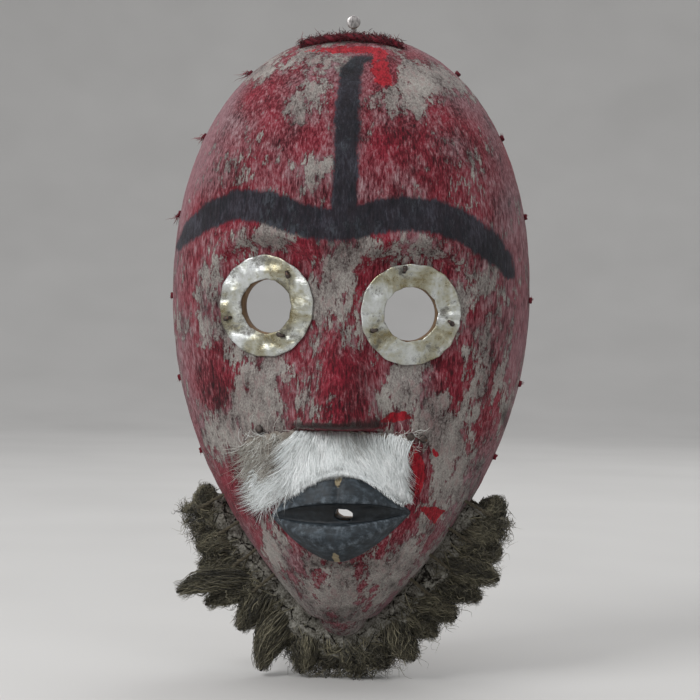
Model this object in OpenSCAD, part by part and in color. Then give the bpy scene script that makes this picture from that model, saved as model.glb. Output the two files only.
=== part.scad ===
// Carved face mask: a hollow wooden face under a skin of red trade cloth, with nailed eye rings of
// sheet metal, dark carved lips, a moustache of white hide, a bent hanging nail at the crown, and a
// beard of plant fibre lashed round the jaw.
// The mask stands upright (+Z) and looks along -Y.  Its back rim lies in the plane y = 0, and the
// origin is the middle of the opening at half the height of the wooden face.

/* [Wooden face] */
// Height of the wooden face
face_h = 250; // [244:1:256]
// Width across the cheeks
face_w = 146.6; // [142:0.2:152]
// Depth of the forehead in front of the back rim
face_d = 57; // [55:0.5:60]
// Height above the origin at which the face is widest
wide_z = 18; // [12:1:24]
// Roundness of the outline and of the cross-sections (2 is an ellipse)
roundness = 2.15; // [2:0.05:2.4]
// Wall thickness of the carved shell
wall = 7; // [6.5:0.5:8]
// Radius of the chin tip
chin_r = 10; // [8:1:12]
// Share of the forehead's depth lost on the way down to the chin
chin_taper = 0.26; // [0.2:0.02:0.32]

/* [Carving] */
// Height of the nose's tip above the face
nose_h = 13; // [10:0.5:15]
// Half-width of the nose at its base
nose_half = 20; // [17:0.5:22]
// Height of the nose's base
nose_base_z = -34.5; // [-37:0.5:-32]
// Height at which the bridge of the nose begins
nose_top_z = 24; // [20:1:28]
// Fullness of the muzzle behind the lips
muzzle_h = 8; // [6:0.5:10]
// Fullness of the brow
brow_h = 2.4; // [1:0.2:4]
// How far the lips stand out of the muzzle
lip_h = 10.5; // [9:0.5:13]
// Half of the mouth's width
lip_half = 27.6; // [25:0.2:29]

/* [Cloth] */
// Thickness of the cloth with its crust of clay
cloth_t = 1; // [0.8:0.1:1.4]
// Height of bare wood left at the crown
crown_bare = 2.5; // [1.5:0.5:4]
// Width of bare wood left along the back rim
rim_bare = 1; // [0.8:0.1:2]

/* [Eye rings] */
// Outer diameter of an eye ring
ring_d = 40; // [38:0.5:42]
// Diameter of the hole in an eye ring
ring_hole_d = 21; // [19:0.5:23]
// Thickness of the ring's sheet metal
ring_t = 0.6; // [0.4:0.1:0.8]
// How far the flat seat of a ring is cut into the face
eye_inset = 3; // [2:0.5:3.5]
// Angle by which each eye looks outward
eye_turn = 15.3; // [13:0.1:18]
// Angle by which each eye looks down
eye_tip = 4; // [2:0.5:6]

/* [Nails and ties] */
// Radius of the small nails
nail_r = 0.6; // [0.5:0.05:0.8]
// Radius of the heads of the small nails
nail_head_r = 1.3; // [1.1:0.1:1.8]
// Radius of the hanging nail at the crown
crown_nail_r = 1.1; // [0.9:0.1:1.3]
// Radius of the head of the hanging nail
crown_head_r = 2.8; // [2.2:0.1:3.2]
// Radius of the tie holes along the rim
tie_hole_r = 1.1; // [1:0.05:1.4]
// Radius of the thread and twine that pass through the holes
thread_r = 0.8; // [0.6:0.05:0.9]

/* [Beard] */
// Radius of the fibre rope that carries the beard
rope_r = 4.6; // [4:0.1:5]
// Radius of a beard tuft where it is fullest
tuft_r = 6; // [5:0.25:7]

/* [Hidden] */
TUFTS = 21;

top_z = face_h / 2;
half_w0 = face_w / 2;
gap = 0.05;
$fn = 48;

// Outline points of the chin: the two sides would meet this far below the rounded tip
chin_overrun = 3.7;
// Height below which the face grows shallower towards the chin
chin_start_z = 40;

// Eye centres: [x, z], the left one first
EYES = [[-28.5, 10.9], [27.4, 8.7]];
// Nails of each ring: [angle round the ring, distance from its centre]
RING_NAILS = [[[55, 16.3], [196, 15.8], [303, 13.6]],
              [[102, 16.6], [-9, 15.2], [205, 15]]];
// Tacks of the moustache: [x, z]
TACKS = [[-30.2, -37.4], [27.6, -39], [32.4, -39.8]];
// Heights of the thread holes along each side of the rim
TIE_Z = [108, 82, 50, 16, -18, -48];
// Heights of the twine loops along each side of the jaw
LASH_Z = [-66, -77, -88, -98];

// Middle line of the beard rope from the left cheek round the chin to the right cheek: [x, z]
ROPE_ROUTE = [[-56.5, -66], [-50.5, -78], [-42.5, -91], [-31, -105], [-19.5, -117.5], [-1, -128.5],
              [17.5, -119], [30, -106.5], [42, -92], [50.5, -79], [57, -68]];
rope_y = -12;
// Half the distance between the two holes of a twine loop, and where its ends turn inside the jaw
lash_half = 6.8;
lash_turns = [-10.8, -7.2];
// Depth at which the thread holes pass through the rim
tie_y = -6;

// Tufts: place along the rope in route points, bend [x, z], tip [x, z], tip y, fullness
TUFT_LIST = [
    [0.6, [-60, -70], [-56, -62], -13, 0.85],
    [1.0, [-57, -78], [-61, -74], -8, 0.85],
    [1.6, [-54, -86], [-61, -88], -16, 0.95],
    [2.1, [-52, -93], [-61, -98], -8, 0.85],
    [2.5, [-52, -99], [-69, -107], -15, 0.95],
    [2.8, [-46, -104], [-58, -113], -8, 0.9],
    [3.2, [-37, -112], [-43, -122], -14, 1],
    [3.6, [-30, -123], [-33, -138], -17, 1.05],
    [4.1, [-21, -121], [-26, -129], -8, 0.9],
    [4.4, [-15, -129], [-17, -139], -15, 0.9],
    [4.8, [-5, -131], [-7, -137], -8, 0.95],
    [5.2, [6, -131], [7, -138], -16, 0.95],
    [5.6, [14, -129], [18, -137], -8, 0.95],
    [6.1, [24, -123], [30, -132], -16, 1],
    [6.5, [31, -116], [39, -123], -8, 0.9],
    [7.0, [38, -109], [47, -114], -16, 0.95],
    [7.5, [46, -101], [57, -107], -8, 0.95],
    [8.0, [52, -94], [64, -98], -16, 0.95],
    [8.4, [56, -87], [65, -88], -8, 0.95],
    [8.9, [58, -79], [64, -78], -16, 0.9],
    [9.5, [63, -72], [62, -64], -9, 0.85]];

function tuft_name(i) = str("beard_tuft_", i < 10 ? "0" : "", i);
function mix(a, b, t) = a + (b - a) * t;
function smooth(t) = let (c = max(0, min(1, t))) c * c * (3 - 2 * c);
function bump(d, width) = exp(-pow(d / width, 2));
function signed_pow(v, e) = sign(v) * pow(abs(v), e);
function unit(v) = v / norm(v);

// ---- The face as two functions: half its width and its depth at each height ----

function upper_half_w(z) =
    let (t = min(1, (z - wide_z) / (top_z - wide_z)))
    half_w0 * pow(1 - pow(t, roundness), 1 / roundness);
function jaw_half_w(z) =
    let (t = (wide_z - z) / (wide_z + top_z + chin_overrun))
    half_w0 * (1 - pow(t, roundness));
function tip_half_w(z) =
    let (h = max(0, z + top_z))
    h < chin_r ? sqrt(2 * chin_r * h - h * h) : half_w0;
function half_w(z) = z > wide_z ? upper_half_w(z) : min(jaw_half_w(z), tip_half_w(z));

function depth(z) =
    z > chin_start_z
        ? face_d * sqrt(1 - pow((z - chin_start_z) / (top_z + 0.5 - chin_start_z), 2.3))
        : let (t = (chin_start_z - z) / (top_z + 0.5 + chin_start_z))
          face_d * (1 - chin_taper * t) * sqrt(1 - pow(t, 7));

// Depth of the plain egg-shaped face at a point in front view
function egg(x, z) =
    let (u = min(1, abs(x) / half_w(z)))
    depth(z) * pow(1 - pow(u, roundness), 1 / roundness);

// ---- Carved relief, added to the egg shape ----

function nose_relief(x, z) =
    let (t = (nose_top_z - z) / (nose_top_z - nose_base_z),
         under = smooth((z - nose_base_z + 3) / 3),
         w = mix(8, nose_half, pow(max(0, t), 1.5)),
         u = min(1, abs(x - 0.8) / w))
    t <= 0 ? 0 : nose_h * smooth(t * 0.62 + 0.1) * 1.25 * pow(cos(90 * u), 1.3) * under;
function muzzle_relief(x, z) = muzzle_h * bump(x - 2, 34) * bump(z + 74, 24);
function brow_relief(x, z) = brow_h * bump(z - 33 + abs(x) * 0.03, 11) * smooth((66 - abs(x)) / 20);
function bridge_hollow(x, z) = 2.4 * bump(x, 13) * bump(z - 17, 11);
function relief(x, z) =
    nose_relief(x, z) + muzzle_relief(x, z) + brow_relief(x, z) - bridge_hollow(x, z);

// The flat seat that an eye ring lies on, and how strongly it takes over from the carved face
function seat_depth(eye, side, x, z) =
    egg(eye.x, eye.y) - eye_inset - side * (x - eye.x) * tan(eye_turn) + (z - eye.y) * tan(eye_tip);
function seat_share(eye, x, z) = 1 - smooth((norm([x - eye.x, z - eye.y]) - 22) / 7);

function front(x, z) =
    let (left = seat_share(EYES[0], x, z), right = seat_share(EYES[1], x, z))
    (egg(x, z) + relief(x, z)) * (1 - left - right)
        + left * seat_depth(EYES[0], -1, x, z)
        + right * seat_depth(EYES[1], 1, x, z);

// A point of the face's surface at the angle a across it, grown outward by o
function face_point(a, z, o) =
    let (x = (half_w(z) + o) * signed_pow(sin(a), 2 / roundness),
         inner_x = half_w(z) * signed_pow(sin(a), 2 / roundness),
         grown = o * pow(cos(a), 2 / roundness))
    [x, -front(inner_x, z) - grown, z];

// Heights of the cross-sections: close together at the chin, the nose's base and the crown
function steps(a, b, n) = [for (i = [0:n - 1]) mix(a, b, i / n)];
ROWS = concat(
    [for (h = [0.4, 1.5, 3.5, 7]) h - top_z],
    steps(-113, -40, 12),
    steps(-40, -32, 6),
    steps(-32, wide_z, 9),
    [for (i = [0:15]) mix(wide_z, top_z, sin(90 * i / 15.3))]);

// ---- Generic solids ----

// A closed skin over loops of points, stacked one on the next and each turning anticlockwise when
// seen from the last one back
module skin(loops) {
    n = len(loops[0]);
    m = len(loops);
    sides = [for (i = [0:m - 2], j = [0:n - 1])
        let (k = (j + 1) % n)
        each [[i * n + j, (i + 1) * n + j, (i + 1) * n + k], [i * n + j, (i + 1) * n + k, i * n + k]]];
    first = [for (j = [0:n - 1]) j];
    last = [for (j = [n - 1:-1:0]) (m - 1) * n + j];
    polyhedron([for (loop = loops) each loop], concat([first], sides, [last]));
}

// A hollow shell that is open at the back: an outer and an inner grid of points with as many rows, whose
// first and last columns lie in one plane across Y; rows go up, columns go to +X
module shell(outer, inner) {
    m = len(outer);
    n = len(outer[0]);
    k = len(inner[0]);
    o = m * n;
    e = o + (m - 1) * k;
    skins = concat(
        [for (i = [0:m - 2], j = [0:n - 2])
            let (a = i * n + j)
            each [[a, a + n, a + n + 1], [a, a + n + 1, a + 1]]],
        [for (i = [0:m - 2], j = [0:k - 2])
            let (a = o + i * k + j)
            each [[a, a + k + 1, a + k], [a, a + 1, a + k + 1]]]);
    back = [for (i = [0:m - 2])
        let (a = i * n, b = i * n + n - 1, c = o + i * k, d = o + i * k + k - 1)
        each [[a, c + k, a + n], [a, c, c + k], [b, b + n, d + k], [b, d + k, d]]];
    ends = [
        [for (j = [0:n - 1]) j],
        [for (j = [n - 1:-1:0]) (m - 1) * n + j],
        [for (j = [k - 1:-1:0]) o + j],
        [for (j = [0:k - 1]) e + j],
        [0, n - 1, o + k - 1, o],
        [(m - 1) * n, e, e + k - 1, m * n - 1]];
    polyhedron(concat([for (row = outer) each row], [for (row = inner) each row]), concat(skins, back, ends));
}

// A sheet between two grids of points of the same size; rows go up, columns go to +X
module sheet(outer, inner) {
    m = len(outer);
    n = len(outer[0]);
    o = m * n;
    faces = concat(
        [for (i = [0:m - 2], j = [0:n - 2])
            let (a = i * n + j)
            each [[a, a + n, a + n + 1], [a, a + n + 1, a + 1],
                  [o + a, o + a + n + 1, o + a + n], [o + a, o + a + 1, o + a + n + 1]]],
        [for (j = [0:n - 2])
            let (a = j, b = (m - 1) * n + j)
            each [[a, a + 1, o + a + 1], [a, o + a + 1, o + a],
                  [b, o + b + 1, b + 1], [b, o + b, o + b + 1]]],
        [for (i = [0:m - 2])
            let (a = i * n, b = i * n + n - 1)
            each [[a, o + a + n, a + n], [a, o + a, o + a + n],
                  [b, b + n, o + b + n], [b, o + b + n, o + b]]]);
    polyhedron(concat([for (row = outer) each row], [for (row = inner) each row]), faces);
}

// A round bar swept along a path that lies roughly across the Y axis, with a radius at each point
function sweep_loops(path, radii, sides) =
    let (last = len(path) - 1)
    [for (i = [0:last])
        let (t = unit(path[min(i + 1, last)] - path[max(i - 1, 0)]),
             up = unit([0, 1, 0] - t * t.y),
             side = cross(up, t))
        [for (j = [0:sides - 1])
            let (a = 360 * j / sides)
            path[i] + radii[i] * (cos(a) * side + sin(a) * up)]];

// ---- Places of the small pieces ----

// Puts its children on a ring's seat, with +Z out of the face
module at_eye(i) {
    side = i == 0 ? -1 : 1;
    y = -seat_depth(EYES[i], side, EYES[i].x, EYES[i].y);
    translate([EYES[i].x, y, EYES[i].y])
        rotate([90 + eye_tip, 0, side * eye_turn])
            children();
}

module at_ring_nail(i, nail) {
    at_eye(i)
        translate([nail[1] * cos(nail[0]), nail[1] * sin(nail[0]), 0])
            children();
}

// Puts its children on the face under a tack, with +Z out of the face
module at_tack(p) {
    lean = atan((front(p.x - 2, p.y) - front(p.x + 2, p.y)) / 4);
    translate([p.x, -front(p.x, p.y), p.y])
        rotate([90, 0, lean])
            children();
}

// Puts its children on the outline at height z and depth y, with +Z straight out of it and +Y kept
module at_rim(side, z, y) {
    slope = atan((half_w(z + 1) - half_w(z - 1)) / 2);
    x = half_w(z) * pow(1 - pow(abs(y) / depth(z), roundness), 1 / roundness);
    translate([side * x, y, z])
        rotate([0, side * (90 + slope), 0])
            children();
}

module hole(r, from, to) {
    translate([0, 0, from])
        cylinder(r = r, h = to - from);
}

module ring_nail_holes(r) {
    for (i = [0, 1], nail = RING_NAILS[i])
        at_ring_nail(i, nail)
            hole(r, -6, 4);
}

module tack_holes(r) {
    for (p = TACKS)
        at_tack(p)
            hole(r, -6, 8);
}

// A round rod with ball ends between two points
module rod(a, b, r) {
    v = b - a;
    translate(a)
        rotate([0, acos(v.z / norm(v)), atan2(v.y, v.x)])
            cylinder(r = r, h = norm(v));
    for (p = [a, b])
        translate(p)
            sphere(r = r);
}

module rim_holes() {
    for (side = [-1, 1], z = TIE_Z)
        at_rim(side, z, tie_y)
            hole(tie_hole_r, -14, 6);
    for (side = [-1, 1], z = LASH_Z, y = [-lash_half, lash_half])
        at_rim(side, z, rope_y)
            translate([0, y, 0])
                hole(tie_hole_r, -18, 6);
}

// ---- Lips ----

lip_x = 1.5;
// Share of the mouth's width at which the lips end in a blunt corner
lip_ends = 0.97;
function lip_corner(s) = -69.8 + 1.2 * s;
function lip_top(s) = lip_corner(s) + 18 * (1 - pow(abs(s), 1.7));
function lip_bottom(s) = lip_corner(s) - 18.2 * (1 - pow(abs(s), 1.6));
function lip_open_top(s) = lip_corner(s) + 5.6 * (1 - pow(abs(s), 2.6));
function lip_open_bottom(s) = lip_corner(s) - 2.9 * (1 - pow(abs(s), 1.8));
function lip_ridge(s) = lip_corner(s) - 11.6 * (1 - pow(abs(s), 1.15));

// Cross-section of the lips at s, from -1 at the left corner to 1 at the right one
function lip_section(s) =
    let (x = lip_x + lip_half * s,
         f = 1 - pow(abs(s), 2.4),
         full = lip_h * pow(f, 0.8),
         notch = 0.46 * full * smooth(3 * f),
         profile = [
             [lip_top(s) - f, -5],
             [lip_top(s), 2 + 0.24 * full],
             [mix(lip_top(s), lip_open_top(s), 0.5), 2 + 0.6 * full],
             [lip_open_top(s), 1.9 + 0.84 * full],
             [lip_open_top(s) - 0.5 * f, 1.9 + 0.84 * full - notch],
             [lip_open_bottom(s) + 0.3 * f, 1.9 + 0.74 * full - 0.85 * notch],
             [lip_open_bottom(s), 1.9 + 0.74 * full],
             [lip_ridge(s), 2 + full],
             [mix(lip_ridge(s), lip_bottom(s), 0.55), 2 + 0.78 * full],
             [lip_bottom(s), 2 + 0.36 * full],
             [lip_bottom(s) + f, -5]])
    [for (p = profile) [x, -front(x, p[0]) - p[1], p[0]]];

module lips() {
    skin([for (i = [0:20]) lip_section(lip_ends * sin(mix(-90, 90, i / 20)))]);
}

// Prism through the cloth round the lips
module lip_window(spare) {
    n = 16;
    upper = [for (i = [0:n]) let (s = mix(-1, 1, i / n)) [lip_x + (lip_half + spare) * s, lip_top(s) + spare]];
    lower = [for (i = [0:n]) let (s = mix(1, -1, i / n)) [lip_x + (lip_half + spare) * s, lip_bottom(s) - spare]];
    translate([0, -20, 0])
        rotate([90, 0, 0])
            linear_extrude(height = 70)
                polygon(concat(upper, lower));
}

mouth = [3.6, -69];
module mouth_hole() {
    translate([mouth.x, -25, mouth.y])
        rotate([90, 0, 0])
            linear_extrude(height = 40)
                hull() {
                    translate([-1.4, 0])
                        circle(r = 2.3);
                    translate([1.4, 0])
                        circle(r = 2.3);
                }
}

// ---- Sub-parts ----

// Length by which the shell first runs on past the rim, which is then cut off flat at y = 0
rim_spare = 1.5;

// A row of points with each end carried straight back by the spare length
function run_on(row) =
    let (last = row[len(row) - 1])
    concat([[row[0].x, rim_spare, row[0].z]], row, [[last.x, rim_spare, last.z]]);

function outer_row(z) = run_on([for (i = [0:36]) face_point(mix(-90, 90, i / 36), z, 0)]);

// A row of the hollow, which follows the plain egg shape inside the wall
hollow_scale = (top_z - 1.15 * wall) / top_z;
function inner_row(z) =
    let (w = half_w(z) * (1 - wall / half_w0), d = max(2, depth(z) - wall))
    run_on([for (i = [0:16])
        let (a = mix(-90, 90, i / 16))
        [w * signed_pow(sin(a), 2 / roundness), -d * pow(cos(a), 2 / roundness), z * hollow_scale]]);

module eye_holes(r) {
    for (i = [0, 1])
        at_eye(i)
            hole(r, -30, 10);
}

crown_y = -8;
module wooden_face() {
    color("saddlebrown")
        difference() {
            union() {
                shell([for (z = ROWS) outer_row(z)], [for (z = ROWS) inner_row(z)]);
                lips();
            }
            eye_holes(ring_hole_d / 2);
            mouth_hole();
            ring_nail_holes(nail_r);
            tack_holes(nail_r);
            rim_holes();
            translate([0, crown_y, top_z - 9])
                cylinder(r = crown_nail_r, h = 20);
            translate([-face_w, 0, -face_h])
                cube([2 * face_w, 2 * rim_spare, 2 * face_h]);
        }
}

// Angle across the face at which the cloth's edge stops short of the back rim
function cloth_edge(z) = acos(pow(min(0.9, rim_bare / depth(z)), roundness / 2));

function cloth_grid(o) =
    [for (z = ROWS)
        if (z < top_z - crown_bare)
            let (a = cloth_edge(z))
            [for (i = [0:34]) face_point(mix(-a, a, i / 34), z, o)]];

module cloth_cover() {
    color("firebrick")
        difference() {
            sheet(cloth_grid(gap + cloth_t), cloth_grid(gap));
            eye_holes(ring_hole_d / 2 + 0.4);
            lip_window(0.3);
            ring_nail_holes(nail_r);
            tack_holes(nail_r);
            rim_holes();
        }
}

ring_base = cloth_t + 2 * gap;
module eye_ring(i) {
    color("tan")
        difference() {
            at_eye(i)
                translate([0, 0, ring_base])
                    linear_extrude(height = ring_t)
                        difference() {
                            circle(d = ring_d);
                            circle(d = ring_hole_d);
                        }
            ring_nail_holes(nail_r);
        }
}

// A small nail driven in to z = -depth_in, with its head at z = head_z
module small_nail(depth_in, head_z) {
    translate([0, 0, -depth_in])
        cylinder(r = nail_r, h = depth_in + head_z);
    translate([0, 0, head_z])
        cylinder(r = nail_head_r, h = 0.8);
}

module ring_nails(i) {
    color("dimgray")
        for (nail = RING_NAILS[i])
            at_ring_nail(i, nail)
                small_nail(5, ring_base + ring_t);
}

// The pelt's outline: u runs from its left end to its right end
function pelt_x(u) = mix(-37, 33.5, u);
function pelt_top(u) = -37.4 - 5 * pow(1 - u, 8) - 2.4 * pow(u, 8);
function pelt_bottom(u) =
    let (s = max(-1, min(1, (pelt_x(u) - lip_x) / lip_half)))
    lip_top(s) + 0.6 + 14 * pow(1 - u, 7) + 5 * pow(u, 12);
pelt_base = cloth_t + 3 * gap;
function pelt_grid(o) =
    [for (k = [0:8])
        [for (i = [0:26])
            let (u = i / 26,
                 x = pelt_x(u),
                 v = k / 8,
                 z = mix(pelt_bottom(u), pelt_top(u), v),
                 lift = o * (0.55 + 0.45 * sin(180 * pow(v, 0.8))))
            [x, -front(x, z) - pelt_base - lift, z]]];

module moustache_pelt() {
    color("ivory")
        difference() {
            sheet(pelt_grid(2.6), pelt_grid(0));
            tack_holes(nail_r);
        }
}

module moustache_tacks() {
    color("dimgray")
        for (p = TACKS)
            at_tack(p)
                small_nail(5, pelt_base + 2.2);
}

// Frayed cord of rolled cloth along the edge of the cloth at the crown
module crown_cord() {
    cord_r = 1.7;
    path = [for (i = [0:12])
        let (x = mix(-20, 21, i / 12),
             z = top_z - crown_bare - 2.6 - 0.007 * x * x)
        [x, -front(x, z) - cloth_t - 0.6 * cord_r, z + 0.8]];
    // The section is upright, so each loop is a circle across the X axis
    loops = [for (p = path)
        [for (j = [0:7]) p + cord_r * [0, cos(45 * j), sin(45 * j)]]];
    color("darkred")
        skin(loops);
}

module crown_nail() {
    bend_r = 2.2;
    up = 4.2;
    color("gray")
        translate([0, crown_y, top_z]) {
            translate([0, 0, -9])
                cylinder(r = crown_nail_r, h = 9 + up - bend_r);
            translate([0, -bend_r, up - bend_r])
                rotate([90, 0, 90])
                    rotate_extrude(angle = 90)
                        translate([bend_r, 0])
                            circle(r = crown_nail_r);
            translate([0, -bend_r, up])
                rotate([90, 0, 0])
                    cylinder(r = crown_nail_r, h = 2);
            translate([0, -bend_r - 2, up])
                rotate([90, 0, 0])
                    cylinder(r = crown_head_r, h = 0.9);
        }
}

// Threads through the rim's holes, each with a knot outside and a bent loose end
module rim_ties() {
    knot_z = 2.2;
    color("darkred")
        for (side = [-1, 1], z = TIE_Z)
            at_rim(side, z, tie_y) {
                hole(thread_r, -9, knot_z);
                translate([0, 0, knot_z])
                    sphere(r = 1.4);
                translate([0, 0, knot_z])
                    rotate([0, -65, 0])
                        cylinder(r1 = 0.6, r2 = 0.3, h = 4);
            }
}

// A smooth curve through a list of points, at place u counted in points
function catmull(a, b, c, d, t) =
    0.5 * (2 * b + (c - a) * t + (2 * a - 5 * b + 4 * c - d) * t * t + (3 * b - a - 3 * c + d) * t * t * t);
function rope_point(u) =
    let (last = len(ROPE_ROUTE) - 1,
         i = min(floor(u), last - 1),
         p = catmull(ROPE_ROUTE[max(i - 1, 0)], ROPE_ROUTE[i], ROPE_ROUTE[i + 1],
                     ROPE_ROUTE[min(i + 2, last)], u - i))
    [p.x, rope_y, p.y];

module beard_rope() {
    last = 3 * (len(ROPE_ROUTE) - 1);
    path = [for (i = [0:last]) rope_point(i / 3)];
    radii = [for (i = [0:last]) rope_r * (i == 0 || i == last ? 0.7 : 1)];
    color("darkkhaki")
        skin(sweep_loops(path, radii, 12));
}

// Twine loops that hold the rope to the jaw: out through one hole, round the rope, back through the other
module beard_lashing() {
    outward = 6.6;
    color("tan")
        for (side = [-1, 1], z = LASH_Z)
            at_rim(side, z, rope_y) {
                translate([0, 0, outward])
                    rotate([90, 0, 90])
                        rotate_extrude(angle = 180)
                            translate([lash_half, 0])
                                circle(r = thread_r);
                rod([0, -lash_half, outward], [0, -lash_half, lash_turns[0]], thread_r);
                rod([0, -lash_half, lash_turns[0]], [0, lash_half, lash_turns[1]], thread_r);
                rod([0, lash_half, lash_turns[1]], [0, lash_half, outward], thread_r);
            }
}

module beard_tuft(i) {
    t = TUFT_LIST[i - 1];
    root = rope_point(t[0]);
    bend = [t[1].x, mix(rope_y, t[3], 0.5), t[1].y];
    tip = [t[2].x, t[3], t[2].y];
    n = 8;
    path = [for (k = [0:n])
        let (s = k / n)
        (1 - s) * (1 - s) * root + 2 * s * (1 - s) * bend + s * s * tip];
    radii = [for (k = [0:n])
        let (s = mix(0.14, 1, k / n))
        tuft_r * t[4] * (0.12 + 0.88 * pow(sin(180 * pow(s, 0.8)), 0.8))];
    color("darkkhaki")
        skin(sweep_loops(path, radii, 10));
}

wooden_face();
cloth_cover();
eye_ring(0);  // left_eye_ring
eye_ring(1);  // right_eye_ring
ring_nails(0);  // left_ring_nails
ring_nails(1);  // right_ring_nails
moustache_pelt();
moustache_tacks();
crown_cord();
crown_nail();
rim_ties();
beard_rope();
beard_lashing();
for (i = [1:TUFTS])
    beard_tuft(i);
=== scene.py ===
"""A carved face mask under a skin of red trade cloth, with nailed sheet-metal eye rings, dark carved lips,
a moustache of white hide, a hanging nail at the crown and a beard of plant fibre lashed round the jaw.

Lengths are in millimetres until a mesh is made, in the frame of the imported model: +Z up, the face looks
along -Y and the back rim lies in y = 0."""

import math

import bpy
import numpy as np
from mathutils import Matrix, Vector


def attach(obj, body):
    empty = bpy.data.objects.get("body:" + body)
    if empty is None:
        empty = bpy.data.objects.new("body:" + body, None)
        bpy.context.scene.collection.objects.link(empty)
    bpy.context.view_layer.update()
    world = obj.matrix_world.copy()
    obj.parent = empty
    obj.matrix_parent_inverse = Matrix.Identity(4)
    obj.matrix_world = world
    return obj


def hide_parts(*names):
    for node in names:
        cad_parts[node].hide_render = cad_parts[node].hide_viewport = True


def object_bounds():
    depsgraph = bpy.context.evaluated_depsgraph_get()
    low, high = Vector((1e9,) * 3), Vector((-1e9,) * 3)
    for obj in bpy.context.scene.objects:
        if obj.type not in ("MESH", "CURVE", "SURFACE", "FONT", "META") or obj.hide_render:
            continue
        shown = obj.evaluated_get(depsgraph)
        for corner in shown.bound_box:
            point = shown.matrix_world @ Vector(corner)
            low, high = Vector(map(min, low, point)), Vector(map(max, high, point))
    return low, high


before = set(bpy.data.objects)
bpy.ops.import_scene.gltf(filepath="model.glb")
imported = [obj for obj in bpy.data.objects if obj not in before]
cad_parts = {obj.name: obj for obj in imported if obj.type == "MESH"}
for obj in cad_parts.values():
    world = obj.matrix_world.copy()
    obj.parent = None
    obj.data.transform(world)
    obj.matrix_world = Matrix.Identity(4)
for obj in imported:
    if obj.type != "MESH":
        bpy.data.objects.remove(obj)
cad_lo, cad_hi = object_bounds()

MM = 0.001
random = np.random.default_rng(12)

# ---- Driving dimensions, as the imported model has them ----

TOP_Z = 125.0
HALF_W = 73.3
FACE_D = 57.0
WIDE_Z = 18.0
ROUND = 2.15
WALL = 7.0
CHIN_R = 10.0
CHIN_TAPER = 0.26
CHIN_OVERRUN = 3.7
CHIN_START_Z = 40.0
CLOTH_T = 1.0
GAP = 0.05
CROWN_BARE = 2.5
RIM_BARE = 1.0
NOSE_BASE_Z = -34.5
NOSE_TOP_Z = 24.0
NOSE_X = 0.8
NOSE_OUT = 16.25
MUZZLE_OUT = 8.0
BROW_OUT = 2.4
BRIDGE_IN = 2.4
RING_R = 20.0
RING_HOLE_R = 10.5
RING_T = 0.6
RING_BASE = CLOTH_T + 2 * GAP
EYE_INSET = 3.0
EYE_TURN = math.radians(15.3)
EYE_TIP = math.radians(4)
SEAT_R = 22.0
SEAT_BLEND = 7.0
# Eye centres x, z, and the side each one is on
EYES = ((-28.5, 10.9, -1), (27.4, 8.7, 1))
# Nails of each ring: angle round the ring in degrees, distance from its centre
RING_NAILS = (((55, 16.3), (196, 15.8), (303, 13.6)), ((102, 16.6), (-9, 15.2), (205, 15)))
TACKS = ((-30.2, -37.4), (27.6, -39), (32.4, -39.8))
TIE_Z = (108, 82, 50, 16, -18, -48)
TIE_Y = -6.0
THREAD_HOLE_R = 1.1
# The hole through the mouth: middle, half-height and how much wider it is
MOUTH_X = 3.6
MOUTH_Z = -69.0
MOUTH_R = 2.3
MOUTH_WIDER = 1.4
# The hanging nail: place, radius, and the radius and start of its bend
NAIL_Y = -8.0
NAIL_R = 1.1
NAIL_BEND_R = 2.2
NAIL_BEND_Z = 127.0
NAIL_TOP_Z = NAIL_BEND_Z + NAIL_BEND_R
NAIL_HEAD_R = 2.75
# Threads whose ends were left long: side and height
LONG_ENDS = ((-1, 108), (-1, 82), (-1, 50))
LASH_Z = (-66, -77, -88, -98)
LASH_HALF = 6.8
ROPE_Y = -12.0
ROPE_R = 4.6
ROPE_ROUTE = ((-56.5, -66), (-50.5, -78), (-42.5, -91), (-31, -105), (-19.5, -117.5), (-1, -128.5),
              (17.5, -119), (30, -106.5), (42, -92), (50.5, -79), (57, -68))
ROPE_END = len(ROPE_ROUTE) - 1
# A point behind the mouth that the band is pressed towards
JAW_MIDDLE = (0.0, ROPE_Y, -60.0)
# How far loose fibres may reach: sideways, down, and out and back
FIBRE_X = 84
FIBRE_LOW_Z = -149
FIBRE_Y = (-23, -1)
TUFT_R = 6.0
# Tufts: place along the rope, bend x and z, tip x and z, tip y, fullness
TUFTS = (
    (0.6, -60, -70, -56, -62, -13, 0.85), (1.0, -57, -78, -61, -74, -8, 0.85),
    (1.6, -54, -86, -61, -88, -16, 0.95), (2.1, -52, -93, -61, -98, -8, 0.85),
    (2.5, -52, -99, -69, -107, -15, 0.95), (2.8, -46, -104, -58, -113, -8, 0.9),
    (3.2, -37, -112, -43, -122, -14, 1), (3.6, -30, -123, -33, -138, -17, 1.05),
    (4.1, -21, -121, -26, -129, -8, 0.9), (4.4, -15, -129, -17, -139, -15, 0.9),
    (4.8, -5, -131, -7, -137, -8, 0.95), (5.2, 6, -131, 7, -138, -16, 0.95),
    (5.6, 14, -129, 18, -137, -8, 0.95), (6.1, 24, -123, 30, -132, -16, 1),
    (6.5, 31, -116, 39, -123, -8, 0.9), (7.0, 38, -109, 47, -114, -16, 0.95),
    (7.5, 46, -101, 57, -107, -8, 0.95), (8.0, 52, -94, 64, -98, -16, 0.95),
    (8.4, 56, -87, 65, -88, -8, 0.95), (8.9, 58, -79, 64, -78, -16, 0.9),
    (9.5, 63, -72, 62, -64, -9, 0.85))

# ---- The face as functions of x and z ----


def mix(a, b, t):
    return a + (b - a) * t


def smooth(t):
    c = np.clip(t, 0, 1)
    return c * c * (3 - 2 * c)


def bump(d, width):
    return np.exp(-(d / width) ** 2)


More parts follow.
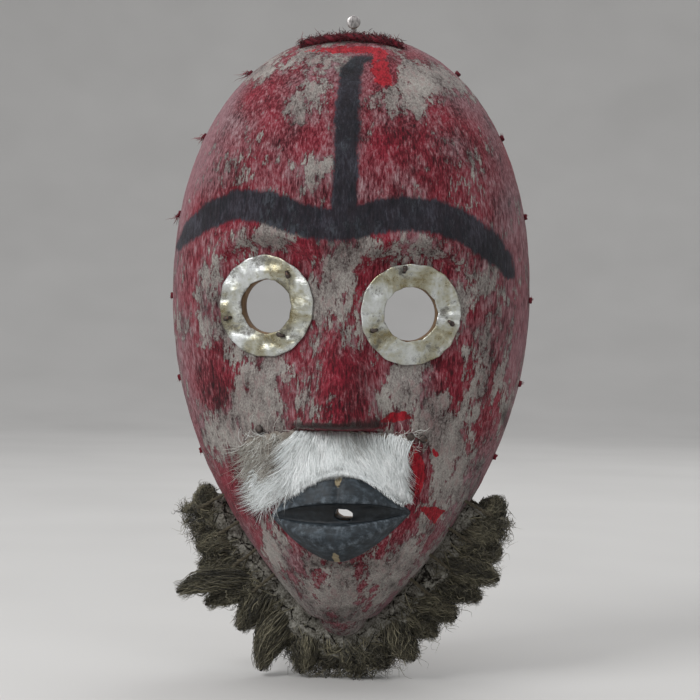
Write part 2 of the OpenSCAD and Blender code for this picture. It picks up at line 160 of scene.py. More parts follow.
def xyz(x, y, z):
    """Points from their coordinates, or triangles from their corners, each an array or a number."""
    return np.stack(np.broadcast_arrays(x, y, z), -1)


def half_w(z):
    """Half-width of the face's outline at a height."""
    z = np.asarray(z, float)
    up = np.clip((z - WIDE_Z) / (TOP_Z - WIDE_Z), 0, 1)
    upper = HALF_W * (1 - up ** ROUND) ** (1 / ROUND)
    down = np.clip((WIDE_Z - z) / (WIDE_Z + TOP_Z + CHIN_OVERRUN), 0, 1)
    jaw = HALF_W * (1 - down ** ROUND)
    h = np.clip(z + TOP_Z, 0, None)
    tip = np.where(h < CHIN_R, np.sqrt(np.clip(2 * CHIN_R * h - h * h, 0, None)), HALF_W)
    return np.where(z > WIDE_Z, upper, np.minimum(jaw, tip))


def depth(z):
    """Depth of the plain egg shape at a height, on its middle line."""
    z = np.asarray(z, float)
    up = np.clip((z - CHIN_START_Z) / (TOP_Z + 0.5 - CHIN_START_Z), 0, 1)
    down = np.clip((CHIN_START_Z - z) / (TOP_Z + 0.5 + CHIN_START_Z), 0, 1)
    upper = FACE_D * np.sqrt(1 - up ** 2.3)
    lower = FACE_D * (1 - CHIN_TAPER * down) * np.sqrt(1 - down ** 7)
    return np.where(z > CHIN_START_Z, upper, lower)


def egg(x, z):
    u = np.clip(np.abs(x) / np.maximum(half_w(z), 1e-6), 0, 1)
    return depth(z) * (1 - u ** ROUND) ** (1 / ROUND)


def relief(x, z):
    """Nose, muzzle, brow and the hollow of the bridge."""
    t = (NOSE_TOP_Z - z) / (NOSE_TOP_Z - NOSE_BASE_Z)
    under = smooth((z - NOSE_BASE_Z + 3) / 3)
    w = mix(8, 20, np.clip(t, 0, None) ** 1.5)
    u = np.clip(np.abs(x - NOSE_X) / w, 0, 1)
    nose = np.where(t > 0, NOSE_OUT * smooth(t * 0.62 + 0.1) * np.cos(np.pi / 2 * u) ** 1.3 * under, 0)
    muzzle = MUZZLE_OUT * bump(x - 2, 34) * bump(z + 74, 24)
    brow = BROW_OUT * bump(z - 33 + np.abs(x) * 0.03, 11) * smooth((66 - np.abs(x)) / 20)
    return nose + muzzle + brow - BRIDGE_IN * bump(x, 13) * bump(z - 17, 11)


def seat_depth(eye, x, z):
    """Depth of the flat, tilted seat under an eye ring."""
    ex, ez, side = eye
    return egg(ex, ez) - EYE_INSET - side * (x - ex) * math.tan(EYE_TURN) + (z - ez) * math.tan(EYE_TIP)


def seat_share(eye, x, z):
    """1 on an eye's flat seat, 0 away from it and smooth between."""
    return 1 - smooth((np.hypot(x - eye[0], z - eye[1]) - SEAT_R) / SEAT_BLEND)


def front(x, z):
    """Depth of the carved face at a point in front view."""
    shares = [seat_share(eye, x, z) for eye in EYES]
    carved = (egg(x, z) + relief(x, z)) * (1 - sum(shares))
    return carved + sum(share * seat_depth(eye, x, z) for share, eye in zip(shares, EYES))


def signed_pow(v, e):
    return np.sign(v) * np.abs(v) ** e


def face_points(a, z, o):
    """Points of the face at the angles a across it, in radians, grown outward by o."""
    w = half_w(z)
    across = signed_pow(np.sin(a), 2 / ROUND)
    x = (w + o) * across
    y = -front(w * across, z) - o * np.clip(np.cos(a), 0, 1) ** (2 / ROUND)
    return xyz(x, y, z)


# Lips: middle, half-width, how far they reach up and down from their corners, and their tilt
LIP_X = 1.5
LIP_Z = -69.8
LIP_HALF = 27.6
LIP_UP = 18.0
LIP_DOWN = 18.2
LIP_TILT = 1.2


def lip_corner(s):
    return LIP_Z + LIP_TILT * s


def lip_top(s):
    return lip_corner(s) + LIP_UP * (1 - np.abs(s) ** 1.7)


def lip_bottom(s):
    return lip_corner(s) - LIP_DOWN * (1 - np.abs(s) ** 1.6)


# ---- Random fields ----


def value_noise(p, seed):
    """Smooth noise from -1 to 1 at the points p, with one cell to a unit."""
    cell = np.floor(p).astype(np.int64)
    t = p - cell
    t = t * t * (3 - 2 * t)
    total = np.zeros(p.shape[:-1])
    for corner in range(8):
        side = np.array([corner & 1, corner >> 1 & 1, corner >> 2 & 1])
        c = (cell + side) & 0xFFFF
        # A whole number that looks random, from the corner's place
        h = (c[..., 0] * 7919 + c[..., 1] * 104729 + c[..., 2] * 1299709 + seed * 15485863) & 0xFFFFFFFF
        h = ((h ^ (h >> 15)) * 2246822519) & 0xFFFFFFFF
        h = ((h ^ (h >> 13)) * 3266489917) & 0xFFFFFFFF
        value = ((h ^ (h >> 16)) & 0xFFFF) / 32767.5 - 1
        total += np.prod(np.where(side == 1, t, 1 - t), axis=-1) * value
    return total


def cloud(p, size, seed, octaves=4, gain=0.55):
    """Layered noise whose largest cells have the given size, one number or three."""
    total = 0.0
    weight = 1.0
    for i in range(octaves):
        total = total + weight * value_noise(p / np.asarray(size, float) * 2 ** i + 31.7 * i, seed + i)
        weight *= gain
    return total


def wobbled(path, size, seed, amount):
    """A path moved along X, Y and Z by smooth noise."""
    return path + amount * np.stack([value_noise(path / size, seed + k) for k in range(3)], -1)


# ---- Mesh building ----


def triangles(rows, cols, wrap=False):
    """Triangles of a grid of points; wrap closes its columns into a tube."""
    i, j = np.meshgrid(np.arange(rows - 1), np.arange(cols if wrap else cols - 1), indexing="ij")
    k = (j + 1) % cols
    a, b, c, d = i * cols + j, i * cols + k, (i + 1) * cols + j, (i + 1) * cols + k
    return np.concatenate([xyz(a, b, d).reshape(-1, 3), xyz(a, d, c).reshape(-1, 3)])


def joined(parts):
    """Several (points, faces) pairs as one."""
    points, faces, start = [], [], 0
    for p, f in parts:
        points.append(p)
        faces.append(f + start)
        start += len(p)
    return np.concatenate(points), np.concatenate(faces)


def unit(v):
    return v / np.maximum(np.linalg.norm(v, axis=-1, keepdims=True), 1e-9)


def tube_points(path, radii, sides, up=(0.0, 1.0, 0.0)):
    """Rings of points round a path. radii is one number for each ring, or one for each of its points."""
    path = np.asarray(path, float)
    along = unit(np.gradient(path, axis=0))
    side = unit(np.cross(along, np.broadcast_to(up, along.shape)))
    over = np.cross(side, along)
    angle = -2 * np.pi * np.arange(sides) / sides
    radii = np.asarray(radii, float)
    radii = radii[:, None] if radii.ndim == 1 else radii
    spokes = np.cos(angle)[None, :, None] * side[:, None] + np.sin(angle)[None, :, None] * over[:, None]
    return path[:, None] + radii[..., None] * spokes


def capped(rings):
    """A closed tube from its rings of points, with a middle point in each cap."""
    rows, sides = rings.shape[:2]
    points = np.concatenate([rings.reshape(-1, 3), rings[:1].mean(1), rings[-1:].mean(1)])
    j = np.arange(sides)
    k = (j + 1) % sides
    first = xyz(k, j, rows * sides)
    last = xyz((rows - 1) * sides + j, (rows - 1) * sides + k, rows * sides + 1)
    return points, np.concatenate([triangles(rows, sides, wrap=True), first, last])


def tube(path, radii, sides, up=(0.0, 1.0, 0.0)):
    radii = np.broadcast_to(radii, len(path)) if np.ndim(radii) == 0 else radii
    return capped(tube_points(path, radii, sides, up))


def fibres(paths, radii):
    """Three-sided fibres that end in a point: paths (n, k, 3) and radii (n, k) give (points, faces)."""
    n, k = paths.shape[:2]
    along = unit(np.gradient(paths, axis=1))
    lean = unit(random.normal(size=(n, 1, 3)))
    side = unit(np.cross(along, np.broadcast_to(lean, along.shape)))
    over = np.cross(side, along)
    angle = -2 * np.pi * np.arange(3) / 3
    spokes = (np.cos(angle)[:, None] * side[:, :-1, None] + np.sin(angle)[:, None] * over[:, :-1, None])
    rings = paths[:, :-1, None] + radii[:, :-1, None, None] * spokes
    each = 3 * (k - 1) + 1
    points = np.concatenate([rings.reshape(n, -1, 3), paths[:, -1:]], axis=1).reshape(-1, 3)
    body = triangles(k - 1, 3, wrap=True)
    end = 3 * (k - 2)
    tip = np.array([[end + j, end + (j + 1) % 3, each - 1] for j in range(3)])
    one = np.concatenate([body, tip, [[0, 2, 1]]])
    faces = (one[None] + each * np.arange(n)[:, None, None]).reshape(-1, 3)
    return points, faces, each


def make_piece(name, points, faces, material, stands_for=(), values=None):
    """A mesh piece in metres on the root body. values holds a number for each point, by name."""
    mesh = bpy.data.meshes.new(name)
    mesh.vertices.add(len(points))
    mesh.vertices.foreach_set("co", (points * MM).astype(np.float32).ravel())
    mesh.loops.add(faces.size)
    mesh.loops.foreach_set("vertex_index", faces.astype(np.int32).ravel())
    mesh.polygons.add(len(faces))
    mesh.polygons.foreach_set("loop_start", np.arange(0, faces.size, 3, dtype=np.int32))
    mesh.polygons.foreach_set("use_smooth", np.ones(len(faces), bool))
    mesh.update(calc_edges=True)
    for key, field in (values or {}).items():
        layer = mesh.attributes.new(key, "FLOAT", "POINT")
        layer.data.foreach_set("value", np.asarray(field, np.float32).ravel())
    mesh.materials.append(material)
    piece = bpy.data.objects.new(name, mesh)
    bpy.context.scene.collection.objects.link(piece)
    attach(piece, "root")
    if stands_for:
        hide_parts(*stands_for)
    return piece


def shades(count, each, middle, spread):
    """A random number from 0 to 1 for each fibre, repeated for each of its points."""
    return np.repeat(random.normal(middle, spread, count).clip(0, 1), each)


def fibre_part(paths, radii, middle, spread):
    """Fibres as (points, faces, shade), each with its own random shade round the middle one."""
    points, faces, each = fibres(paths, radii)
    return points, faces, shades(len(paths), each, middle, spread)


def shaded_piece(name, parts, material, stands_for=()):
    """One piece from parts (points, faces, shade); a part's shade is a number, or one for each point."""
    shade = np.concatenate([np.broadcast_to(part[2], len(part[0])) for part in parts])
    points, faces = joined([part[:2] for part in parts])
    return make_piece(name, points, faces, material, stands_for, {"shade": shade})


# ---- Node materials ----


def srgb(r, g, b):
    """A colour given as 0 to 255 on screen, as the shader wants it."""
    c = np.array([r, g, b]) / 255
    return (*np.where(c <= 0.04045, c / 12.92, ((c + 0.055) / 1.055) ** 2.4), 1.0)


class Shader:
    """A node material; each method adds a node and returns its output."""

    def __init__(self, name, roughness, **inputs):
        self.material = bpy.data.materials.new(name)
        self.material.use_nodes = True
        self.tree = self.material.node_tree
        self.surface = self.tree.nodes["Principled BSDF"]
        self.surface.inputs["Roughness"].default_value = roughness
        for key, value in inputs.items():
            self.surface.inputs[key.replace("_", " ")].default_value = value
        self.place = self.tree.nodes.new("ShaderNodeTexCoord").outputs["Object"]

    def add(self, kind, settings=(), **inputs):
        node = self.tree.nodes.new(kind)
        for key, value in dict(settings).items():
            setattr(node, key, value)
        for key, value in inputs.items():
            self.put(node.inputs[key.replace("_", " ")], value)
        return node

    def put(self, socket, value):
        if isinstance(value, bpy.types.NodeSocket):
            self.tree.links.new(value, socket)
        else:
            socket.default_value = value

    def scaled(self, scale):
        """The place on the object with so many units to a millimetre along X, Y and Z."""
        return self.add("ShaderNodeMapping", Vector=self.place, Scale=tuple(s / MM for s in scale)).outputs[0]

    def noise(self, scale, detail=4.0, rough=0.6, distortion=0.0):
        node = self.add("ShaderNodeTexNoise", Vector=self.scaled(scale), Scale=1.0, Detail=detail,
                        Roughness=rough, Distortion=distortion)
        return node.outputs[0]

    def cells(self, scale, feature="DISTANCE_TO_EDGE"):
        node = self.add("ShaderNodeTexVoronoi", {"feature": feature}, Vector=self.scaled(scale), Scale=1.0)
        return node.outputs[0]

    def value(self, name):
        return self.add("ShaderNodeAttribute", {"attribute_name": name}).outputs["Fac"]

    def sum(self, constant, *terms):
        """constant plus each (socket, weight)."""
        total = constant
        for socket, weight in terms:
            node = self.add("ShaderNodeMath", {"operation": "MULTIPLY_ADD"})
            self.put(node.inputs[0], socket)
            self.put(node.inputs[1], weight)
            self.put(node.inputs[2], total)
            total = node.outputs[0]
        return total

    def times(self, a, b):
        node = self.add("ShaderNodeMath", {"operation": "MULTIPLY"})
        self.put(node.inputs[0], a)
        self.put(node.inputs[1], b)
        return node.outputs[0]

    def step(self, field, low, high):
        """0 below low, 1 above high and smooth between."""
        node = self.add("ShaderNodeMapRange", {"interpolation_type": "SMOOTHSTEP"}, Value=field)
        self.put(node.inputs["From Min"], low)
        self.put(node.inputs["From Max"], high)
        return node.outputs[0]

    def ramp(self, field, *stops):
        """A colour ramp; each stop is a position and its red, green and blue, 0 to 255 as on screen."""
        node = self.add("ShaderNodeValToRGB", Fac=field)
        line = node.color_ramp.elements
        while len(line) < len(stops):
            line.new(0.5)
        for element, (position, *color) in zip(line, stops):
            element.position = position
            element.color = srgb(*color)
        return node.outputs[0]

    def blend(self, mask, a, b):
        node = self.add("ShaderNodeMix", {"data_type": "RGBA"})
        self.put(node.inputs["Factor"], mask)
        self.put(node.inputs[6], a)
        self.put(node.inputs[7], b)
        return node.outputs[2]

    def done(self, color, height=None, relief_mm=0.3, rough=None):
        self.put(self.surface.inputs["Base Color"], color)
        if rough is not None:
            self.put(self.surface.inputs["Roughness"], rough)
        if height is not None:
            node = self.add("ShaderNodeBump", Strength=1.0, Distance=relief_mm * MM, Height=height)
            self.put(self.surface.inputs["Normal"], node.outputs[0])
        return self.material


def cloth_material():
    """Crimson napped cloth with clay crust, black paint, clean flaked patches, soiling with painted shade
    under the nose, along the crown edge and under the lower lip, and dust with painted sheen towards the
    rims.
    """
    s = Shader("red_trade_cloth", 0.92, Sheen_Weight=0.06, Sheen_Roughness=0.6, Specular_IOR_Level=0.2)
    streak = s.noise((1.4, 1.4, 0.24), detail=6, rough=0.72)
    ragged = s.noise((0.3, 0.3, 0.15), detail=9, rough=0.68)
    worn = s.noise((0.42, 0.42, 0.17), detail=8, rough=0.7, distortion=0.3)
    weave = s.noise((2.8, 2.8, 1.8), detail=3)
    blotch = s.noise((0.07, 0.07, 0.05), detail=5)
    red = s.ramp(s.sum(-0.55, (streak, 1.0), (blotch, 0.5), (worn, 0.5)),
                 (0.24, 32, 7, 12), (0.38, 82, 13, 25), (0.52, 124, 24, 41),
                 (0.68, 140, 55, 70))
    smear_field = s.sum(-1.95, (s.value("smear"), 0.42), (worn, 2.6), (streak, 1.2))
    smear_mask = s.step(smear_field, -0.25, 0.75)
    smear = s.ramp(s.sum(0.0, (streak, 0.5), (worn, 0.5)), (0.36, 78, 48, 54), (0.5, 122, 94, 99),
                   (0.62, 158, 142, 143))
    color = s.blend(s.times(smear_mask, 0.85), red, smear)
    # Dust and painted sheen: pale dusty pink, partly real dust, with painted sheen towards the rims and
    # painted light on the upper left side
    dust_and_sheen_mask = s.step(s.sum(-0.75, (s.value("dust"), 1.0), (streak, 1.4), (blotch, 0.3)), 0.1, 0.8)
    color = s.blend(s.times(dust_and_sheen_mask, 0.7), color, s.ramp(streak, (0.3, 112, 64, 74),
                                                           (0.7, 156, 134, 138)))
    crust_field = s.sum(-2.1, (s.value("crust"), 0.58), (ragged, 2.6), (streak, 1.5))
    crust_mask = s.step(crust_field, 0.0, 0.13)
    grain = s.noise((1.7, 1.7, 1.1), detail=6, rough=0.75)
    crust = s.ramp(s.sum(-0.3, (grain, 0.6), (worn, 0.5), (blotch, 0.5)),
                   (0.34, 50, 42, 41), (0.43, 104, 98, 95), (0.52, 138, 135, 130), (0.63, 166, 165, 158))
    tinted = s.blend(s.times(s.step(worn, 0.5, 0.62), 0.45), crust, srgb(110, 66, 70))
    color = s.blend(s.times(crust_mask, 0.92), color, tinted)
    paint_field = s.sum(-0.95, (s.value("paint"), 0.6), (streak, 1.0), (ragged, 1.0))
    paint_mask = s.step(paint_field, 0.0, 0.35)
    paint = s.ramp(s.sum(-0.45, (streak, 0.8), (blotch, 0.5), (ragged, 0.7)), (0.3, 11, 13, 17),
                   (0.55, 27, 31, 38), (0.75, 58, 62, 71))
    color = s.blend(s.times(paint_mask, 0.96), color, paint)
    bare_mask = s.step(s.sum(-3.05, (s.value("bare"), 1.7), (ragged, 3.0), (worn, 1.1)), 0.2, 0.32)
    color = s.blend(bare_mask, color, s.ramp(s.sum(-0.5, (streak, 1.2), (worn, 0.8)), (0.3, 78, 8, 18),
                                             (0.5, 142, 14, 30), (0.66, 166, 38, 50)))
    # Soiling and painted shade: darker under the nose, along the crown edge and under the lower lip
    grime_and_painted_shade = s.step(s.sum(-0.85, (s.value("grime_and_painted_shade"), 0.95), (ragged, 1.6)), 0.1, 0.8)
    color = s.blend(s.times(grime_and_painted_shade, 0.85), color, srgb(34, 26, 24))
    specks = s.step(s.noise((1.3, 1.3, 1.3), detail=3, rough=0.7), 0.66, 0.74)
    color = s.blend(s.times(specks, 0.6), color, srgb(48, 34, 32))
    height = s.sum(0.0, (streak, 0.45), (weave, 0.35), (crust_mask, 0.5), (grain, 0.25), (worn, 0.4))
    return s.done(color, height, 0.4)


def wood_material():
    """Light carving wood gone grey-brown, darker and smoother where hands have held it, with a painted
    highlight on the ridges between the adze cups.
    """
    s = Shader("carving_wood", 0.75)
    bands = s.noise((0.35, 0.12, 0.03), detail=6, rough=0.65, distortion=0.6)
    pores = s.noise((2.2, 2.2, 0.22), detail=4)
    blotch = s.noise((0.04, 0.04, 0.04), detail=3)
    color = s.ramp(s.sum(-0.1, (bands, 0.75), (pores, 0.3), (blotch, 0.15)),
                   (0.25, 84, 64, 46), (0.45, 112, 87, 62), (0.65, 138, 111, 81),
                   (0.85, 160, 134, 102))
    pale = s.ramp(pores, (0.3, 150, 132, 110), (0.7, 206, 192, 168))
    # Pale wood at the crown and the back rim, and a painted highlight on the ridges between the adze cups
    color = s.blend(s.value("pale"), color, pale)
    color = s.blend(s.times(s.value("soot"), 0.85), color, srgb(34, 26, 22))
    rough = s.sum(0.55, (pores, 0.35))
    return s.done(color, s.sum(0.0, (bands, 0.5), (pores, 0.4)), 0.35, rough)


def lip_material():
    """Carved wood under a worn blue-black paint, chipped to the pale wood; paler along the facets' edges,
    where the paint is rubbed and a highlight is painted, and near black in the slot between the lips, where
    shade is painted.
    """
    s = Shader("painted_lips", 0.6, Specular_IOR_Level=0.4)
    grain = s.noise((0.16, 0.5, 0.6), detail=6, rough=0.65)
    rub = s.noise((0.45, 0.45, 0.3), detail=6, rough=0.7)
    base = s.ramp(s.sum(0.0, (grain, 0.5), (rub, 0.5)), (0.34, 14, 18, 22), (0.5, 36, 44, 50),
                  (0.64, 70, 80, 88))
    # Rubbed paint and painted highlight: lighter blue-grey along the facets' edges
    worn = s.step(s.sum(-1.6, (s.value("wear_and_highlight"), 0.55), (rub, 2.6)), 0.0, 0.8)
    color = s.blend(s.times(worn, 0.5), base, s.ramp(grain, (0.35, 84, 94, 104), (0.65, 130, 139, 146)))
    chips = s.step(s.sum(-1.45, (s.value("chip"), 1.0), (rub, 2.0)), 0.25, 0.36)
    color = s.blend(chips, color, s.ramp(grain, (0.3, 118, 106, 82), (0.7, 160, 148, 120)))
    # Painted shade: near black in the slot between the lips
    color = s.blend(s.times(s.value("painted_slot_shade"), 0.75), color, srgb(12, 14, 16))
    rough = s.sum(0.45, (rub, 0.3))
    return s.done(color, s.sum(0.0, (grain, 0.4), (rub, 0.5), (chips, -0.5)), 0.3, rough)


def ring_material():
    """Hammered sheet metal, silvery with a brassy cast, scratches and tarnish in the dents."""
    s = Shader("hammered_sheet", 0.35, Metallic=0.8)
    cloudy = s.noise((0.07, 0.07, 0.07), detail=4, distortion=0.5)
    spots = s.noise((0.55, 0.55, 0.55), detail=9, rough=0.75)
    scratch = s.noise((0.25, 0.6, 3.4), detail=3)
    color = s.ramp(s.sum(-0.85, (cloudy, 2.0), (spots, 0.7)), (0.2, 130, 121, 92),
                   (0.42, 168, 166, 148), (0.6, 194, 197, 192), (0.85, 220, 223, 224))
    stain = s.step(s.sum(-1.75, (spots, 2.8), (cloudy, 0.7), (s.value("stain"), 0.4)), 0.0, 0.6)
    color = s.blend(s.times(stain, 0.75), color, srgb(82, 76, 64))
    rough = s.sum(0.02, (cloudy, 0.3), (spots, 0.3), (stain, 0.3))
    return s.done(color, s.sum(0.0, (spots, 0.5), (scratch, 0.3), (cloudy, 0.6)), 0.35, rough)


def iron_material():
    s = Shader("forged_iron", 0.5, Metallic=0.8)
    rust = s.noise((0.8, 0.8, 0.8), detail=6, rough=0.7)
    color = s.ramp(rust, (0.35, 46, 42, 42), (0.55, 84, 76, 72), (0.72, 112, 78, 58))
    return s.done(color, rust, 0.15, s.sum(0.25, (rust, 0.55)))


def steel_material():
    s = Shader("bright_nail", 0.35, Metallic=0.9)
    rub = s.noise((1.2, 1.2, 0.5), detail=5)
    color = s.ramp(rub, (0.35, 112, 108, 108), (0.6, 186, 182, 180))
    return s.done(color, rub, 0.08, s.sum(0.2, (rub, 0.35)))


def fibre_material(name, dark, middle, light, rough=0.8, sheen=0.1):
    """Hair or fibre: the number "shade" says how light each fibre is, and "clay" how dusty it is."""
    s = Shader(name, rough, Sheen_Weight=sheen, Specular_IOR_Level=0.3)
    fleck = s.noise((1.2, 1.2, 1.2), detail=3)
    color = s.ramp(s.sum(-0.15, (s.value("shade"), 1.0), (fleck, 0.3)),
                   (0.1, *dark), (0.5, *middle), (0.9, *light))
    color = s.blend(s.times(s.value("clay"), 0.75), color, srgb(104, 101, 92))
    return s.done(color, fleck, 0.05)


def clay_material():
    """Matted fibre caked with grey clay that has cracked as it dried."""
    s = Shader("caked_clay", 0.95, Specular_IOR_Level=0.2)
    lumps = s.noise((0.3, 0.3, 0.3), detail=6, rough=0.7)
    dust = s.noise((1.2, 1.2, 1.2), detail=4)
    edge = s.cells((0.16, 0.16, 0.16))
    color = s.ramp(s.sum(0.0, (lumps, 0.65), (dust, 0.35)), (0.34, 38, 36, 31), (0.44, 86, 83, 76),
                   (0.54, 124, 122, 114), (0.66, 152, 150, 143))
    crack = s.step(s.sum(-0.2, (edge, 1.0), (lumps, 0.42)), 0.0, 0.06)
    color = s.blend(crack, srgb(26, 23, 19), color)
    return s.done(color, s.sum(0.0, (lumps, 0.7), (dust, 0.3), (crack, 0.4)), 0.8)


def hide_material():
    s = Shader("dried_hide", 0.8)
    folds = s.noise((0.4, 0.4, 0.4), detail=6)
    color = s.ramp(folds, (0.3, 82, 72, 64), (0.5, 120, 112, 103), (0.7, 156, 150, 142))
    return s.done(color, folds, 0.4)


CLOTH = cloth_material()
WOOD = wood_material()
LIPS = lip_material()
SHEET = ring_material()
IRON = iron_material()
STEEL = steel_material()
HIDE = hide_material()
CLAY = clay_material()
WHITE_HAIR = fibre_material("white_hair", (168, 168, 164), (232, 237, 237), (250, 252, 252), 0.55)
GREY_HAIR = fibre_material("grey_hair", (112, 104, 96), (182, 178, 169), (236, 240, 238), 0.6)
PLANT_FIBRE = fibre_material("plant_fibre", (17, 16, 11), (76, 72, 56), (148, 142, 118), 0.85)
YARN = fibre_material("maroon_yarn", (34, 8, 14), (92, 18, 32), (150, 34, 52), 0.85)
TWINE = fibre_material("twisted_twine", (36, 32, 24), (76, 70, 56), (112, 106, 90), 0.85)

# ---- Cloth cover ----

# Black paint: a stripe down the forehead and a swoosh brow, as x, z and half-width along their middle lines
BROW = ((-68, 35.5, 2.5), (-62, 41, 5), (-52, 47, 6), (-40, 50.5, 6.5), (-28, 49, 7), (-17, 45, 7),
        (-8, 42.5, 6.8), (2, 42, 7), (12, 45, 7.2), (24, 47, 7.4), (36, 46.5, 7.2), (47, 42.5, 6.8),
        (56, 37, 6.2), (62, 31, 4.8), (65, 26, 3))
STRIPE = ((10, 110, 1.8), (4, 109.5, 3), (2, 104, 5), (1.5, 90, 5.2), (2, 75, 5.6), (2, 60, 5.4), (2, 45, 6))
# Clay crust: x, z, half-width, half-height and how much more of it there is, less where negative
CRUST = (
    (-40, 110, 26, 7, 0.95), (-12, 105, 14, 5, 0.5), (-6, 110.5, 10, 4, 0.6), (24, 92, 15, 8, 0.9),
    (27, 104, 11, 9, 1.0), (44, 101, 12, 9, 0.8), (57, 86, 4, 12, 0.5), (-16, 87, 9, 6, 0.75),
    (-12, 97, 8, 4, 0.5),
    (-28, 79, 9, 7, 0.5), (-20, 67, 14, 6, 0.4), (-8, 63, 7, 6, 0.5), (-45, 66, 12, 10, 0.35),
    (46, 70, 9, 12, 0.6), (38, 62, 10, 8, 0.35), (22, 66, 9, 8, 0.2), (-35, 92, 14, 10, -0.4),
    (18, 77, 10, 10, -0.4), (42, 88, 8, 8, -0.5), (57, 68, 6, 16, -0.2), (-32, 38, 17, 5, 1.0),
    (-51, 28, 8, 13, 0.6), (-61, 20, 4, 16, -0.2), (-4, 24, 10, 13, 0.8), (3, 8, 10, 14, 0.75),
    (-13, 33, 7, 4, -0.9), (14, 33, 10, 5, 0.6), (30, 34, 16, 6, 0.65), (50, 22, 7, 14, 0.7),
    (57, 8, 6, 20, 0.15), (-42, -4, 7, 8, 0.7), (-30, -18, 10, 11, 1.0), (-35, -33, 15, 9, 1.0),
    (-50, -20, 8, 14, -0.6), (-61, -5, 4, 12, -0.3), (-52, -2, 4, 10, 0.4), (-10, -6, 8, 10, -0.45),
    (6, -18, 13, 11, -0.7), (-12, -26, 7, 5, 0.9), (-16, -31, 4, 2.5, -0.6), (24, -20, 7, 9, 1.0),
    (33, -12, 7, 6, 0.8), (42, -12, 6, 7, -0.4), (51, -16, 6, 14, 0.4), (38, -32, 10, 8, 0.9),
    (55, -40, 6, 16, -0.1), (42, -48, 8, 13, 0.8), (-46, -44, 9, 8, 0.75), (-43, -66, 9, 13, -0.9),
    (-36, -82, 6, 12, -0.6), (46, -62, 7, 8, 0.6), (0, -98, 28, 13, 0.8), (0, -115, 16, 10, 0.75),
    (-8, -99, 2.5, 8, -0.6), (-13, -93, 5, 4, -0.4), (-3, -108, 2, 7, -0.45), (12, -101, 2.5, 8, -0.35),
    (-24, -84, 7, 8, 0.8), (24, -88, 8, 8, 0.6), (16, -84, 8, 4, -0.5), (-4, -92, 3, 6, -0.8),
    (9, -95, 3, 9, -0.5), (0, 122, 70, 5, 0.4))
# Clean bright cloth where the crust has flaked away: x, z, half-width and half-height
BARE = ((1, 114.6, 20, 2.8), (12.5, 107, 5, 6), (15.5, 100, 4.5, 3.8))
# The same beside the nose and the moustache, as brush strokes: x, z and half-width
TORN = (((17, -33, 0.8), (21, -31.5, 2.2), (25, -31, 2), (29, -31.8, 0.3)),
        ((28.2, -42, 1.3), (30, -48, 2.6), (32, -55, 2.2), (30.6, -62, 0.8)),
        ((32.5, -67.5, 1), (36.5, -69.5, 2.4), (40.5, -69.2, 0.6)), ((36.5, -69.5, 2), (37, -73.5, 0.6)),
        ((36, -43.5, 0.3), (37.5, -46, 1)))
# Soiled places and painted shade: x, z, half-width, half-height and strength; the rows under the nose, along
# the crown edge and under the lower lip are painted shade
GRIME_AND_PAINTED_SHADE = ((0, 119.5, 22, 2.2, 0.9), (-2, -35, 17, 1.5, 1.1), (12, -33.5, 8, 2.2, 0.7), (2, -89.5, 18, 2, 0.5),
         (64, -32, 2, 6, 0.7), (2, 34, 14, 4, 0.5), (0, -4, 3, 12, 0.35), (34, -76, 5, 4, 0.4),
         (2, -112, 12, 6, 0.5), (-20, -98, 6, 6, 0.35), (20, -100, 6, 6, 0.45))


def blobs(x, z, rows):
    """Sum of soft round spots; a row has a place, two half-sizes and a strength, or 1 without one."""
    total = 0.0
    for row in rows:
        strength = row[4] if len(row) > 4 else 1.0
        u, v = (x - row[0]) / row[2], (z - row[1]) / row[3]
        total = total + strength * np.exp(-((u ** 2 + v ** 2) ** 1.5))
    return total


def stroke(x, z, rows):
    """How far inside a brush stroke each point is, in millimetres."""
    best = np.full(np.shape(x), -99.0)
    for (ax, az, ar), (bx, bz, br) in zip(rows, rows[1:]):
        t = np.clip(((x - ax) * (bx - ax) + (z - az) * (bz - az)) / ((bx - ax) ** 2 + (bz - az) ** 2), 0, 1)
        away = np.hypot(x - mix(ax, bx, t), z - mix(az, bz, t))
        best = np.maximum(best, mix(ar, br, t) - away)
    return best


def in_lip_window(x, z, spare):
    """Whether points lie inside the lips' outline, grown by spare."""
    s = np.clip((x - LIP_X) / LIP_HALF, -1, 1)
    return (np.abs(x - LIP_X) < LIP_HALF) & (z < lip_top(s) + spare) & (z > lip_bottom(s) - spare)


